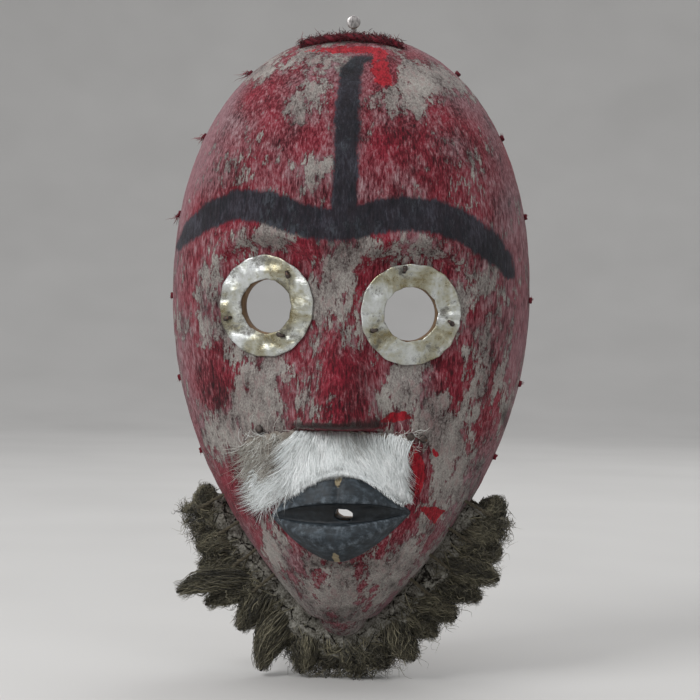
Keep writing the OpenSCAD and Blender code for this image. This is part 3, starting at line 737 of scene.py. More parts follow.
def make_cloth():
    """The cloth over the whole front; where its crust, paint, worn patches, soiling with painted shade and
    dust with painted sheen lie are numbers on its points.
    """
    rows, cols = 330, 230
    low = np.linspace(0.4 - TOP_Z, WIDE_Z, 195)
    high = math.asin((TOP_Z - CROWN_BARE - WIDE_Z) / (TOP_Z - WIDE_Z))
    upper = WIDE_Z + (TOP_Z - WIDE_Z) * np.sin(np.linspace(0, high, rows - 194)[1:])
    z = np.concatenate([low, upper])[:, None]
    edge = np.arccos(np.minimum(0.9, RIM_BARE / depth(z)) ** (ROUND / 2))
    a = np.linspace(-1, 1, cols)[None] * edge
    flat = face_points(a, z, 0)
    x, zz = flat[..., 0], flat[..., 2]
    cloudy = cloud(flat, (9, 9, 13), 3, 4)
    crust = -0.45 + 0.35 * smooth((34 - zz) / 8) + blobs(x, zz, CRUST) + 0.6 * cloudy
    crust -= 0.12 * smooth((np.abs(a) - 1.0) / 0.3)
    smear = 0.3 + 0.7 * cloud(flat, (14, 14, 20), 15, 3) + 0.5 * crust
    bare = blobs(x, zz, BARE) + sum(smooth(0.6 + stroke(x, zz, row) / 2.4) for row in TORN)
    paint = np.maximum(stroke(x, zz, BROW), stroke(x, zz, STRIPE))
    # Real dust, with painted sheen towards the rims and painted light on the upper left side, more towards
    # the bottom and at random
    dust = 0.35 * smooth((np.abs(a) - 0.75) / 0.5) + 0.3 * smooth((-x - 30) / 25) * smooth((z - 45) / 20)
    dust = dust + 0.25 * cloud(flat, (24, 24, 30), 9, 3) + 0.3 * smooth((-70 - zz) / 25)
    # Soiling, with painted shade under the nose, along the crown edge and under the lower lip
    grime_and_painted_shade = blobs(x, zz, GRIME_AND_PAINTED_SHADE)
    flush = sum(seat_share(eye, x, zz) for eye in EYES)
    loose = (1 - flush) * (1 - 0.8 * smooth(bare))
    lift = loose * (0.22 * smooth(crust + 0.4) + 0.12 * cloud(flat, (3.2, 3.2, 5), 21, 3))
    lift = lift + loose * 0.35 * bump(zz - 118, 5) * value_noise(flat / 6, 5) * (z > 100)
    offset = np.clip(CLOTH_T + lift, 0.5, CLOTH_T + 0.6)
    offset[:, [0, -1]] = -0.2
    offset[[0, -1]] = -0.2
    points = face_points(a, z, offset).reshape(-1, 3)
    faces = triangles(rows, cols)
    middle = points[faces].mean(1)
    keep = ~in_lip_window(middle[:, 0], middle[:, 2], -0.8)
    for ex, ez, _ in EYES:
        keep &= np.hypot(middle[:, 0] - ex, middle[:, 2] - ez) > RING_HOLE_R + 0.9
    values = {"crust": crust, "smear": smear, "bare": bare, "paint": np.clip(paint, -6, 6) / 3,
              "dust": dust, "grime_and_painted_shade": grime_and_painted_shade}
    points, faces, kept = used_only(points, faces[keep])
    values = {key: np.broadcast_to(field, x.shape).ravel()[kept] for key, field in values.items()}
    piece = make_piece("cloth_skin", points, faces, CLOTH, ["cloth_cover"], values)
    return piece


def used_only(points, faces):
    """The points that the faces use, the faces renumbered for them, and which points they are."""
    kept, numbers = np.unique(faces, return_inverse=True)
    return points[kept], numbers.reshape(faces.shape), kept


# ---- Carved wood ----


def cut(piece, cutters):
    """Cuts closed solids, given as (points, faces), out of a piece, whose flat back rim stays sharp."""
    points, faces = joined(cutters)
    mesh = bpy.data.meshes.new("cutter")
    mesh.from_pydata((points * MM).tolist(), [], faces.tolist())
    tool = bpy.data.objects.new("cutter", mesh)
    bpy.context.scene.collection.objects.link(tool)
    modifier = piece.modifiers.new("cut", "BOOLEAN")
    modifier.operation = "DIFFERENCE"
    modifier.solver = "MANIFOLD"
    modifier.object = tool
    result = bpy.data.meshes.new_from_object(piece.evaluated_get(bpy.context.evaluated_depsgraph_get()))
    middle, normal = np.empty((2, len(result.polygons), 3), np.float32)
    result.polygons.foreach_get("center", middle.ravel())
    result.polygons.foreach_get("normal", normal.ravel())
    flat_rim = (middle[:, 1] > -0.05 * MM) & (normal[:, 1] > 0.999)
    result.polygons.foreach_set("use_smooth", ~flat_rim)
    piece.modifiers.clear()
    piece.data = result
    bpy.data.objects.remove(tool)
    return piece


def eye_frame(eye):
    """Columns: along the ring, up the ring and out of the face; and the middle of the seat."""
    ex, ez, side = eye
    turn = Matrix.Rotation(side * EYE_TURN, 3, "Z") @ Matrix.Rotation(math.pi / 2 + EYE_TIP, 3, "X")
    return np.array(turn), np.array([ex, -float(seat_depth(eye, ex, ez)), ez])


def rim_frame(side, z, y):
    """Columns: along the rim, +Y and out of it; and the place on the outline at height z and depth y."""
    slope = math.atan((half_w(z + 1) - half_w(z - 1)) / 2)
    x = float(half_w(z) * (1 - (abs(y) / depth(z)) ** ROUND) ** (1 / ROUND))
    turn = Matrix.Rotation(side * (math.pi / 2 + slope), 3, "Y")
    return np.array(turn), np.array([side * x, y, z])


def moved(points, placed):
    """Points taken from a frame, given as its columns and its place, to the object."""
    turn, place = placed
    return points @ turn.T + place


def mouth_cutter():
    """The hole through the mouth, wider than it is high."""
    angle = np.linspace(0, 2 * np.pi, 49)[:-1]
    across = MOUTH_R * np.cos(angle) + MOUTH_WIDER * np.sign(np.cos(angle))
    ring = xyz(MOUTH_X + across, 0, MOUTH_Z + MOUTH_R * np.sin(angle) + 0.25 * np.cos(3 * angle))
    return capped(np.stack([ring + [0, -20, 0], ring + [0, -95, 0]]))


def drill(placed, radius, low, high, sides, over=0.0):
    """A straight round cutter along the Z of a placed frame, moved over along its Y."""
    points, faces = tube(xyz(0, over, np.linspace(low, high, 2)), radius, sides)
    return moved(points, placed), faces


def wood_cutters():
    """The mouth, the eye holes, and the holes for threads and twine."""
    cutters = [mouth_cutter()]
    cutters += [drill(eye_frame(eye), RING_HOLE_R, -30, 12, 96) for eye in EYES]
    for side in (-1, 1):
        cutters += [drill(rim_frame(side, z, TIE_Y), THREAD_HOLE_R, -14, 6, 16) for z in TIE_Z]
        cutters += [drill(rim_frame(side, z, ROPE_Y), THREAD_HOLE_R, -18, 6, 16, y)
                    for z in LASH_Z for y in (-LASH_HALF, LASH_HALF)]
    return cutters


def scallops(u, v, seed):
    """Shallow cups left by the adze: 0 at the ridges between them and 1 in their middles."""
    best = np.full(np.shape(u), 9.0)
    for du in (-1, 0, 1):
        for dv in (-1, 0, 1):
            cell = xyz(np.floor(u) + du, np.floor(v) + dv, 0.0)
            jitter = [value_noise(cell, seed + k) * 0.38 + 0.5 for k in (0, 1)]
            best = np.minimum(best, (u - cell[..., 0] - jitter[0]) ** 2 + (v - cell[..., 1] - jitter[1]) ** 2)
    return np.clip(1 - best / 0.6, 0, 1)


def make_wood():
    """The hollow face: outside, rim and a hollow with the marks of the adze."""
    rows, cols = 260, 150
    low = -TOP_Z + 0.02 + (TOP_Z + WIDE_Z - 0.02) * np.linspace(0, 1, 150) ** 1.4
    upper = WIDE_Z + (TOP_Z - WIDE_Z) * np.sin(np.linspace(0, 0.5 * np.pi * 0.9985, rows - 149)[1:])
    z = np.concatenate([low, upper])[:, None]
    a = np.linspace(-np.pi / 2, np.pi / 2, cols)[None]
    outer = face_points(a, z, 0)
    w = half_w(z) * (1 - WALL / HALF_W)
    d = np.maximum(2, depth(z) - WALL)
    scale = (TOP_Z - 1.15 * WALL) / TOP_Z
    inner = xyz(w * signed_pow(np.sin(a), 2 / ROUND), -d * np.clip(np.cos(a), 0, 1) ** (2 / ROUND), z * scale)
    over = 62 * a + 0 * z
    cups = scallops(over / 9 + 0.3 * np.sin(z / 20), z / 19, 41)
    marks = 2.2 * cups + 0.25 * value_noise(inner / [3, 3, 6], 42)
    inside = np.clip(np.cos(a), 0, 1) ** 0.5
    inner = inner + unit(inner) * (marks * inside)[..., None]
    inner[..., 1] = np.minimum(inner[..., 1], 0)
    inner[[0, -1], :, 1] = 0
    outer[[0, -1], :, 1] = 0
    rim_wear = 0.35 * value_noise(outer / 5, 43) * np.clip(1 - np.cos(a) * 6, 0, 1)
    outer = outer - unit(outer * [1, 0, 1]) * np.abs(rim_wear)[..., None]
    points = np.concatenate([outer.reshape(-1, 3), inner.reshape(-1, 3)])
    o = rows * cols
    i = np.arange(rows - 1)
    left, right = i * cols, i * cols + cols - 1
    rims = [(left, left + cols, o + left + cols), (left, o + left + cols, o + left),
            (right, o + right + cols, right + cols), (right, o + right, o + right + cols)]
    j = np.arange(cols - 1)
    top = (rows - 1) * cols + j
    ends = [(j, o + j + 1, j + 1), (j, o + j, o + j + 1),
            (top, top + 1, o + top + 1), (top, o + top + 1, o + top)]
    outside = triangles(rows, cols)
    faces = np.concatenate([outside, o + outside[:, ::-1]] + [xyz(*corners) for corners in rims + ends])
    high = points[:, 2]
    within = np.arange(len(points)) >= o
    pale = 0.2 * smooth((high - 119) / 4) * ~within + 0.25 * (np.abs(points[:, 1]) < 0.6)
    # Painted highlight: paler on the ridges between the adze cups, where they catch the light
    pale[o:] += 0.14 * smooth((0.5 - cups.ravel()) / 0.4) * inside.repeat(rows, 0).ravel()
    soot = 0.4 * smooth(value_noise(points / 26, 44)) * within + 0.3 * smooth((high - 118) / 4) * ~within
    piece = make_piece("carved_face", points, faces, WOOD, ["wooden_face"],
                       {"pale": pale, "soot": soot})
    return cut(piece, wood_cutters())


# Chips in the lips' paint: x, z, half-width, half-height and strength
CHIPS = ((1.4, -55, 1.8, 4.2, 1.1), (1, -86, 1.9, 4, 1.1), (1, -52.5, 4, 1.1), (-18, -81, 3, 1, 0.7))


def lip_profile(s):
    """Corner points of the lips' section at s, as height and how far they stand out of the face."""
    f = 1 - abs(s) ** 2.4
    full = 10.5 * f ** 0.8
    notch = 0.46 * full * float(smooth(3 * f))
    top, bottom, corner = lip_top(s), lip_bottom(s), lip_corner(s)
    open_top = corner + 5.6 * (1 - abs(s) ** 2.6)
    open_bottom = corner - 2.9 * (1 - abs(s) ** 1.8)
    ridge = corner - 11.6 * (1 - abs(s) ** 1.15)
    return np.array([
        (top - f, -5), (top, 2 + 0.24 * full), (mix(top, open_top, 0.5), 2 + 0.6 * full),
        (open_top, 1.9 + 0.84 * full), (open_top - 0.5 * f, 1.9 + 0.84 * full - notch),
        (open_bottom + 0.3 * f, 1.9 + 0.74 * full - 0.85 * notch), (open_bottom, 1.9 + 0.74 * full),
        (ridge, 2 + full), (mix(ridge, bottom, 0.55), 2 + 0.78 * full), (bottom, 2 + 0.36 * full),
        (bottom + f, -5)])


def make_lips():
    """Lips of a few flat facets with softened edges, a groove up the middle and a slot with a hole."""
    cols, rows = 150, 110
    spread = 0.985 * np.sin(np.linspace(-np.pi / 2, np.pi / 2, cols))
    sections, wear_and_highlight, painted_slot_shade = [], [], []
    for s in spread:
        corners = lip_profile(s)
        length = np.concatenate([[0], np.cumsum(np.hypot(*np.diff(corners, axis=0).T) + 1e-6)])
        at = np.linspace(0, length[-1], rows)
        line = np.stack([np.interp(at, length, corners[:, k]) for k in (0, 1)], -1)
        soft = line.copy()
        for _ in range(3):
            soft[1:-1] = (soft[:-2] + 2 * soft[1:-1] + soft[2:]) / 4
        edges = length[[1, 3, 6, 7]]
        # Rubbed paint and painted highlight along the facets' edges
        wear_and_highlight.append(np.exp(-(np.min(np.abs(at[:, None] - edges[None]), axis=1) / 2.2) ** 2))
        # Painted shade in the slot between the lips
        painted_slot_shade.append(np.exp(-((at - length[[4, 5]].mean()) / (0.6 * (length[5] - length[4]) + 0.6)) ** 4))
        sections.append(soft)
    sections = np.array(sections)
    z, out = sections[..., 0], sections[..., 1]
    x = np.broadcast_to(LIP_X + LIP_HALF * spread[:, None], z.shape)
    shape = 1 - np.abs(spread[:, None]) ** 4
    above = z > lip_corner(spread)[:, None] + 3
    groove = 0.9 * bump(x - 1.4, 1.3) * above + 0.5 * bump(x - 0.5, 1.0) * (z < -82)
    place = xyz(x, 0, z)
    facets = 0.6 * cloud(place, (7, 7, 4), 51, 3) * shape
    out = out - np.where(out > 0, groove - facets, 0)
    points = xyz(x, -front(x, z) - out, z)
    chip = blobs(x, z, CHIPS)
    points, faces = capped(points[:, ::-1])
    ordered = {"wear_and_highlight": np.array(wear_and_highlight), "chip": chip, "painted_slot_shade": np.array(painted_slot_shade) * shape}
    values = {key: np.concatenate([field[:, ::-1].ravel(), [0, 0]]) for key, field in ordered.items()}
    piece = make_piece("carved_lips", points, faces, LIPS, (), values)
    return cut(piece, [mouth_cutter()])


# ---- Eye rings and nails ----


def make_ring(name, eye, seed, flutes):
    """A hammered annulus with a chiselled inner edge; flutes says how wavy its outer edge is."""
    around, across = 220, 18
    angle = 2 * np.pi * np.arange(around) / around
    wobble = value_noise(xyz(np.cos(angle) * 2, np.sin(angle) * 2, 0), seed)
    sides = 11
    part = np.mod(angle + 0.25 * wobble, 2 * np.pi / sides) - np.pi / sides
    inner = (RING_HOLE_R + 0.25) * math.cos(math.pi / sides) / np.cos(part) * 1.015
    outer = RING_R - 0.2 + 0.45 * wobble + 0.12 * np.sin(17 * angle + seed)
    t = np.linspace(0, 1, across)[None]
    r = mix(inner[:, None], outer[:, None], t)
    x, y = r * np.cos(angle)[:, None], r * np.sin(angle)[:, None]
    flat = xyz(x, y, seed)
    dents = 0.9 * value_noise(flat / 4.4, seed) + 0.2 * value_noise(flat / 1.6, seed + 1)
    radial = xyz(3.1 * np.cos(angle), 3.1 * np.sin(angle), 0)
    waves = flutes * np.abs(value_noise(radial * 1.6, seed + 2))[:, None] * (0.25 + t)
    bent = 0.35 * np.abs(value_noise(radial * 0.5, seed + 3))[:, None] * t ** 2
    hammered = np.clip(dents, -0.35, 0.9) * np.sin(np.pi * np.clip(t, 0.12, 0.9))
    height = RING_BASE + 0.4 + hammered + waves + bent
    thick = RING_T * (1 - 0.45 * (2 * t - 1) ** 6)
    upper, lower = xyz(x, y, height + thick / 2), xyz(x, y, height - thick / 2)
    rings = np.concatenate([upper, lower[:, ::-1]], axis=1)
    points = moved(rings.reshape(-1, 3), eye_frame(eye))
    stain = np.concatenate([np.broadcast_to(-dents * 1.5, x.shape), 0 * x + 1], axis=1).ravel()
    closed = np.concatenate([np.arange(around), [0]])
    faces = []
    count = 2 * across
    for a, b in zip(closed, closed[1:]):
        j = np.arange(count)
        k = (j + 1) % count
        one, next_one = a * count, b * count
        faces += [xyz(one + j, next_one + j, next_one + k), xyz(one + j, next_one + k, one + k)]
    return make_piece(name, points, np.concatenate(faces), SHEET, [name[:-6] + "_ring"],
                      {"stain": stain})


def bent_nail(seed, turn):
    """A small nail whose head is hammered over sideways."""
    t = np.linspace(0, 1, 15)
    bend = smooth((t - 0.62) / 0.2)
    height = np.minimum(-4 + 8.6 * t, 1.7 - 2.2 * np.clip(t - 0.75, 0, 1))
    path = xyz(bend * (t - 0.62) * 6.2, 0, height)
    radii = 0.62 + 0.38 * smooth((t - 0.68) / 0.2) - 0.28 * smooth((t - 0.9) / 0.1)
    points, faces = tube(path, radii, 14)
    c, s = math.cos(turn), math.sin(turn)
    points = points @ np.array([[c, s, 0], [-s, c, 0], [0, 0, 1]])
    return points + 0.1 * value_noise(points * 1.3 + seed, 61)[:, None], faces


def make_ring_nails(name, eye, nails, turns):
    """The nails of one eye ring; turns says which way each head is bent, in degrees."""
    parts = []
    for i, ((angle, away), turn) in enumerate(zip(nails, turns)):
        points, faces = bent_nail(i, math.radians(turn))
        a = math.radians(angle)
        points = points + [away * math.cos(a), away * math.sin(a), RING_BASE + RING_T - 0.3]
        parts.append((moved(points, eye_frame(eye)), faces))
    points, faces = joined(parts)
    return make_piece(name, points, faces, IRON, [name.replace("bent_", "")])


def make_tacks():
    """Round-headed tacks at the ends of the moustache."""
    parts = []
    for i, (x, z) in enumerate(TACKS):
        t = np.linspace(0, 1, 22)
        radius = np.where(t < 0.45, 0.6, 1.75 * np.sqrt(np.clip(1 - ((t - 0.45) / 0.56) ** 2, 0.02, 1)))
        path = xyz(0, 0, np.where(t < 0.45, -5 + 16 * t, 2.2 + 2.2 * (t - 0.45)))
        points, faces = tube(path, radius, 18)
        points = points + 0.25 * value_noise(points * 0.9 + 9 * i, 62)[:, None]
        lean = math.atan(float(front(x - 2, z) - front(x + 2, z)) / 4)
        turn = np.array(Matrix.Rotation(lean, 3, "Z") @ Matrix.Rotation(math.pi / 2, 3, "X"))
        parts.append((moved(points, (turn, np.array([x, -float(front(x, z)), z]))), faces))
    points, faces = joined(parts)
    return make_piece("iron_tacks", points, faces, IRON, ["moustache_tacks"])


def make_crown_nail():
    """A round nail in the top of the face, bent forwards so that its head faces the front."""
    t = np.linspace(0, 1, 12)
    up = xyz(0, NAIL_Y, mix(TOP_Z - 2.5, NAIL_BEND_Z, t))
    turn = t * np.pi / 2
    bend = xyz(0, NAIL_Y - NAIL_BEND_R * (1 - np.cos(turn)), NAIL_BEND_Z + NAIL_BEND_R * np.sin(turn))
    out = xyz(0.2 * t, NAIL_Y - NAIL_BEND_R - 2 * t, NAIL_TOP_Z)
    path = np.concatenate([up, bend[1:], out[1:]])
    shank = tube(path, NAIL_R + 0.06 * value_noise(path * 2, 71), 20, up=(1.0, 0.0, 0.0))
    s = np.linspace(0, 1, 14)
    edge = NAIL_HEAD_R + 0.05 * np.sin(9 * s[1:9])
    radius = np.concatenate([[1.2], edge, NAIL_HEAD_R * np.sqrt(1 - (s[9:] - s[8]) ** 2 * 6)])
    y = np.concatenate([-12.0 - 0.7 * s[:9], -12.45 - 0.95 * (s[9:] - s[8])])
    head = tube(xyz(0.2, y, NAIL_TOP_Z), radius, 32, up=(0.0, 0.0, 1.0))
    points, faces = joined([shank, head])
    return make_piece("hanging_nail", points, faces, STEEL, ["crown_nail"])


# ---- Yarn, threads and twine ----


def ply(path, radius, pitch, plies, phase=0.0):
    """Strands of a twisted cord along a path: a list of paths."""
    path = np.asarray(path, float)
    step = np.linalg.norm(np.diff(path, axis=0), axis=1)
    length = np.concatenate([[0], np.cumsum(step)])
    along = unit(np.gradient(path, axis=0))
    guide = np.where(np.abs(along[:, :1]) < 0.9, [[1.0, 0, 0]], [[0, 0, 1.0]])
    side = unit(np.cross(along, guide))
    over = np.cross(along, side)
    turned = []
    for i in range(plies):
        angle = (2 * np.pi * (length / pitch + i / plies) + phase)[:, None]
        turned.append(path + radius * (np.cos(angle) * side + np.sin(angle) * over))
    return turned


def fray(roots, directions, length, radius, curl, middle, spread):
    """Loose fibres from roots along directions, with a random curl, as a part."""
    n = len(roots)
    t = np.linspace(0, 1, 5)[None, :, None]
    reach = (length * random.uniform(0.4, 1.15, n))[:, None, None]
    bend = random.normal(size=(n, 1, 3)) * curl
    wave = random.normal(size=(n, 1, 3)) * curl * 0.4
    paths = roots[:, None] + reach * (directions[:, None] * t + bend * t ** 2 + wave * np.sin(5 * t))
    radii = radius * (1 - 0.6 * t[..., 0]) * random.uniform(0.7, 1.2, (n, 1))
    return fibre_part(paths, radii, middle, spread)




def make_crown_cord():
    """The rolled and frayed edge of the cloth across the crown."""
    x = np.linspace(-20, 21, 130)
    z = TOP_Z - CROWN_BARE - 2.6 - 0.007 * x ** 2
    path = wobbled(xyz(x, -front(x, z) - CLOTH_T - 1.0, z + 0.8), 4, 80, 0.35)
    parts = []
    for i, strand in enumerate(ply(path, 0.85, 9, 3)):
        grow = 0.8 + 0.25 * value_noise(strand / 2, 85 + i)
        radii = grow * np.clip(np.minimum(x + 20.5, 21.5 - x) / 3, 0.25, 1)
        parts.append((*tube(strand, radii, 10), 0.3 + 0.12 * i))
    count = 2400
    pick = random.integers(0, len(path), count)
    away = random.normal(size=(count, 3)) * [0.8, 0.5, 0.5] + [0, -0.5, -0.25]
    roots = path[pick] + random.normal(size=(count, 3)) * [0.8, 0.3, 1.0]
    parts.append(fray(roots, unit(away), 2.0, 0.15, 0.5, 0.38, 0.24))
    return shaded_piece("frayed_crown_edge", parts, YARN, ["crown_cord"])


def make_rim_ties():
    """A knotted thread with a frayed end in each hole of the rim."""
    parts = []
    for side in (-1, 1):
        for i, z in enumerate(TIE_Z):
            placed = rim_frame(side, z, TIE_Y)
            t = np.linspace(0, 1, 60)
            turns = 2 * np.pi * t * 2.5
            knot = xyz(0.8 * np.cos(turns), 0.8 * np.sin(turns), 1.1 + 0.8 * t)
            stem = xyz(0, 0, mix(-9, 1.6, t))
            for path, radius in ((stem, 0.7), (knot, 0.55)):
                for strand in ply(path, radius * 0.45, 2.4, 2, phase=i):
                    points, faces = tube(strand, radius * 0.6, 8)
                    parts.append((moved(points, placed), faces, 0.45 + 0.03 * i))
            long = (side, z) in LONG_ENDS
            count = 26 if long else 12
            roots = np.tile([[0.0, 0.0, 1.6]], (count, 1)) + random.normal(size=(count, 3)) * 0.3
            lean = np.array([-0.9, 0.0, 0.4]) + random.normal(size=(count, 3)) * 0.3
            points, faces, shade = fray(roots, unit(lean), 4.4 if long else 1.4, 0.14, 0.3, 0.6, 0.2)
            parts.append((moved(points, placed), faces, shade))
    return shaded_piece("rim_threads", parts, YARN, ["rim_ties"])


def lash_path():
    """One twine loop: out of a hole, round the rope, back in and across behind the jaw."""
    t = np.linspace(0, 1, 16)[:-1]
    half = np.linspace(np.pi, 0, 26)[:-1]
    out = xyz(0, -LASH_HALF, mix(-10.4, 6.6, t))
    over = xyz(0, LASH_HALF * np.cos(half), 6.6 + LASH_HALF * np.sin(half))
    back = xyz(0, LASH_HALF, mix(6.6, -7.4, t))
    across = xyz(0, mix(LASH_HALF, -LASH_HALF, t), mix(-7.4, -10.4, t) - 0.7 * np.sin(np.pi * t))
    return np.concatenate([out, over, back, across])


def make_lashing():
    """The twine loops that hold the band to the jaw."""
    parts = []
    for side in (-1, 1):
        for z in LASH_Z:
            path = wobbled(moved(lash_path(), rim_frame(side, z, ROPE_Y)), 5, 90, 0.2)
            for j, strand in enumerate(ply(path, 0.4, 4, 2)):
                parts.append((*tube(strand, 0.46, 8, up=(0.3, 0.9, 0.3)), 0.4 + 0.1 * j))
            pick = random.integers(0, len(path), 40)
            parts.append(fray(path[pick], unit(random.normal(size=(40, 3))), 2.2, 0.1, 0.4, 0.6, 0.15))
    return shaded_piece("jaw_lashing", parts, TWINE, ["beard_lashing"])


# ---- Moustache ----

PELT_LEFT = -37.0
PELT_BASE = CLOTH_T + 3 * GAP


def pelt_top(u):
    return -37.4 - 5 * (1 - u) ** 8 - 2.4 * u ** 8


def pelt_bottom(u):
    s = np.clip((mix(PELT_LEFT, 33.5, u) - LIP_X) / LIP_HALF, -1, 1)
    return lip_top(s) + 0.6 + 14 * (1 - u) ** 7 + 5 * u ** 12


def pelt_x(u, v):
    """Where a place along and up the hide lies sideways; its right end curves in."""
    return mix(PELT_LEFT, 30.2 - 4.4 * np.sin(np.pi * v), u)


def make_pelt():
    """The strip of hide that the hair grows from, with ragged, curled edges."""
    rows, cols = 44, 170
    u = np.linspace(0, 1, cols)[None]
    v = np.linspace(0, 1, rows)[:, None]
    ragged = 0.7 * value_noise(xyz(60 * u, 9 * v, 0), 101)
    x = pelt_x(u, v) + ragged * np.abs(2 * u - 1) ** 6
    z = mix(pelt_bottom(u), pelt_top(u), v) + ragged * np.abs(2 * v - 1) ** 4
    place = xyz(x, 0, z)
    lift = PELT_BASE + 0.5 + 0.3 * value_noise(place / 3, 102) + 0.5 * np.abs(value_noise(place / 9, 103))
    upper = xyz(x, -front(x, z) - lift - 0.8, z)
    lower = xyz(x, -front(x, z) - PELT_BASE + 0.4, z)
    o = rows * cols
    faces = triangles(rows, cols)
    loop = np.concatenate([np.arange(cols), np.arange(1, rows) * cols + cols - 1,
                           (rows - 1) * cols + np.arange(cols - 2, -1, -1),
                           np.arange(rows - 2, 0, -1) * cols])
    after = np.roll(loop, -1)
    edge = np.concatenate([xyz(loop, o + after, after), xyz(loop, o + loop, o + after)])
    points = np.concatenate([upper.reshape(-1, 3), lower.reshape(-1, 3)])
    faces = np.concatenate([faces, o + faces[:, ::-1], edge])
    return make_piece("hide_strip", points, faces, HIDE, ["moustache_pelt"])


def hair_paths(x, z, lean, bend, length, rise, curl, k=6):
    """Hair that leaves the face at x, z, lies over along its lean, bends sideways and follows the face."""
    n = len(x)
    t = np.linspace(0, 1, k)[None]
    heading = unit(np.stack([lean, -np.ones(n)], -1))
    wander = random.normal(size=(n, 2)) * curl
    dx = heading[:, :1] * t + (wander[:, :1] + bend[:, None]) * t ** 2
    dz = heading[:, 1:] * t + wander[:, 1:] * t ** 2 * 0.5
    px = x[:, None] + length[:, None] * dx
    pz = z[:, None] + length[:, None] * dz
    s = np.clip((px - LIP_X) / LIP_HALF, -1, 1)
    on_lip = smooth((lip_top(s) + 0.5 - pz) / 2.5) * (np.abs(px - LIP_X) < LIP_HALF)
    out = 1.4 + rise[:, None] * np.sin(np.pi * np.clip(t, 0, 1) ** 0.7 * 0.8) + 3.6 * on_lip
    return xyz(px, -front(px, pz) - CLOTH_T - out, pz)


# Which way the hair lies and how it bends sideways, by place along the hide from left to right
HAIR_LEAN = ((0, 0.2, 0.32, 0.45, 0.6, 0.8, 0.95), (-0.75, -0.7, -0.4, -0.15, 0.0, -0.1, -0.2))
HAIR_BEND = ((0, 0.3, 0.5, 0.7, 0.85, 1), (-0.2, -0.15, 0.15, 0.55, 0.7, 0.45))


def hair_limit(z):
    """How far to the right the hair reaches at each height."""
    return np.interp(z, (-68, -60, -54, -47, -41), (31, 29.5, 27.3, 26, 27))


def hair_end(x):
    """Height at which the hair stops: at the upper lip, and lower beside it."""
    s = np.clip((x - LIP_X) / LIP_HALF, -1, 1)
    left = np.interp(x, (-42, -36, -29, -22), (-48, -62, -77, -71))
    right = np.interp(x, (24, 31), (-61, -67))
    return np.where(x < -21, left, np.where(x > 24, right, lip_top(s)))


def hair_piece(name, count, left, right, low_v, top_v, length, rise, curl, radius, material, middle):
    """A coat of hair over part of the hide, between two places along it and two heights."""
    u = random.uniform(left, right, count)
    v = random.uniform(low_v, top_v, count)
    x = pelt_x(u, v)
    clump = value_noise(xyz(x / 2.2, 7 * v, 0), 111)
    z = mix(pelt_bottom(u), pelt_top(u), v)
    slant = np.interp(u, *HAIR_LEAN) + np.where(u < 0.36, 0.75, 0.3) * clump + random.normal(size=count) * 0.1
    bend = np.interp(u, *HAIR_BEND) + 0.1 * clump
    reach = length * random.uniform(0.6, 1.15, count) * (1 + 0.15 * clump)
    farthest = (hair_limit(z - reach) - x) / reach + 0.08 * random.normal(size=count)
    slant = np.minimum(slant, farthest - bend)
    room = (z - hair_end(x + 0.5 * reach * slant) + random.uniform(0.0, 2.6, count)) * np.hypot(1, slant)
    reach = np.minimum(reach, np.maximum(room, 1.5))
    paths = hair_paths(x, z, slant, bend, reach, rise * random.uniform(0.5, 1.3, count), curl)
    radii = radius * random.uniform(0.7, 1.25, (count, 1)) * np.linspace(1, 0.35, paths.shape[1])[None]
    points, faces, each = fibres(paths, radii)
    roots = 0.4 * np.exp(-((x - 9) / 7) ** 2 - ((z + 37) / 4) ** 2)
    shade = np.repeat((middle + 0.2 * clump - roots + random.normal(size=count) * 0.14).clip(0, 1), each)
    return make_piece(name, points, faces, material, (), {"shade": shade})


def make_wisps():
    """Single loose hairs round the edges of the moustache, lying on the cloth."""
    count = 240
    side = random.random(count)
    left, right = side < 0.68, side > 0.73
    zone = np.where(left, 0, np.where(right, 1, 2))
    x = np.choose(zone, [random.uniform(*ends, count) for ends in ((-36, -20), (22, 31), (-24, 20))])
    z = np.choose(zone, [random.uniform(-64, -38, count), random.uniform(-45, -37, count), -37.5])
    turns = ((3.7, 0.6), (-0.4, 1.2), (0.2, 0.3))
    turn = np.choose(zone, [random.normal(middle, spread, count) for middle, spread in turns])
    t = np.linspace(0, 1, 8)[None]
    reach = random.uniform(3, 11, (count, 1)) * np.where(left, 1, 0.6)[:, None]
    curve = random.normal(size=(count, 1)) * 0.7
    px = x[:, None] + reach * t * np.cos(turn[:, None] + curve * t)
    pz = z[:, None] + reach * t * np.sin(turn[:, None] + curve * t)
    paths = xyz(px, -front(px, pz) - CLOTH_T - 0.9 - 0.8 * np.sin(np.pi * t), pz)
    part = fibre_part(paths, np.full((count, 8), 0.08), 0.6, 0.2)
    return shaded_piece("loose_white_hairs", [part], GREY_HAIR)


def make_moustache():
    """Coats of hair over the hide, thick and white on the right and matted and grey on the left."""
    hair_piece("white_hair_right", 6900, 0.5, 1.0, 0.02, 1.02, 13.5, 1.7, 0.1, 0.14, WHITE_HAIR, 0.66)
    hair_piece("white_hair_middle", 6000, 0.31, 0.66, 0.02, 1.02, 13, 1.7, 0.12, 0.14, WHITE_HAIR, 0.64)
    hair_piece("grey_hair_left", 1100, 0.0, 0.33, 0.0, 1.0, 8, 0.8, 0.6, 0.12, GREY_HAIR, 0.45)
    hair_piece("white_hair_left", 700, 0.04, 0.34, 0.0, 0.4, 14, 1.2, 0.42, 0.13, WHITE_HAIR, 0.6)
    make_wisps()


# ---- Beard ----


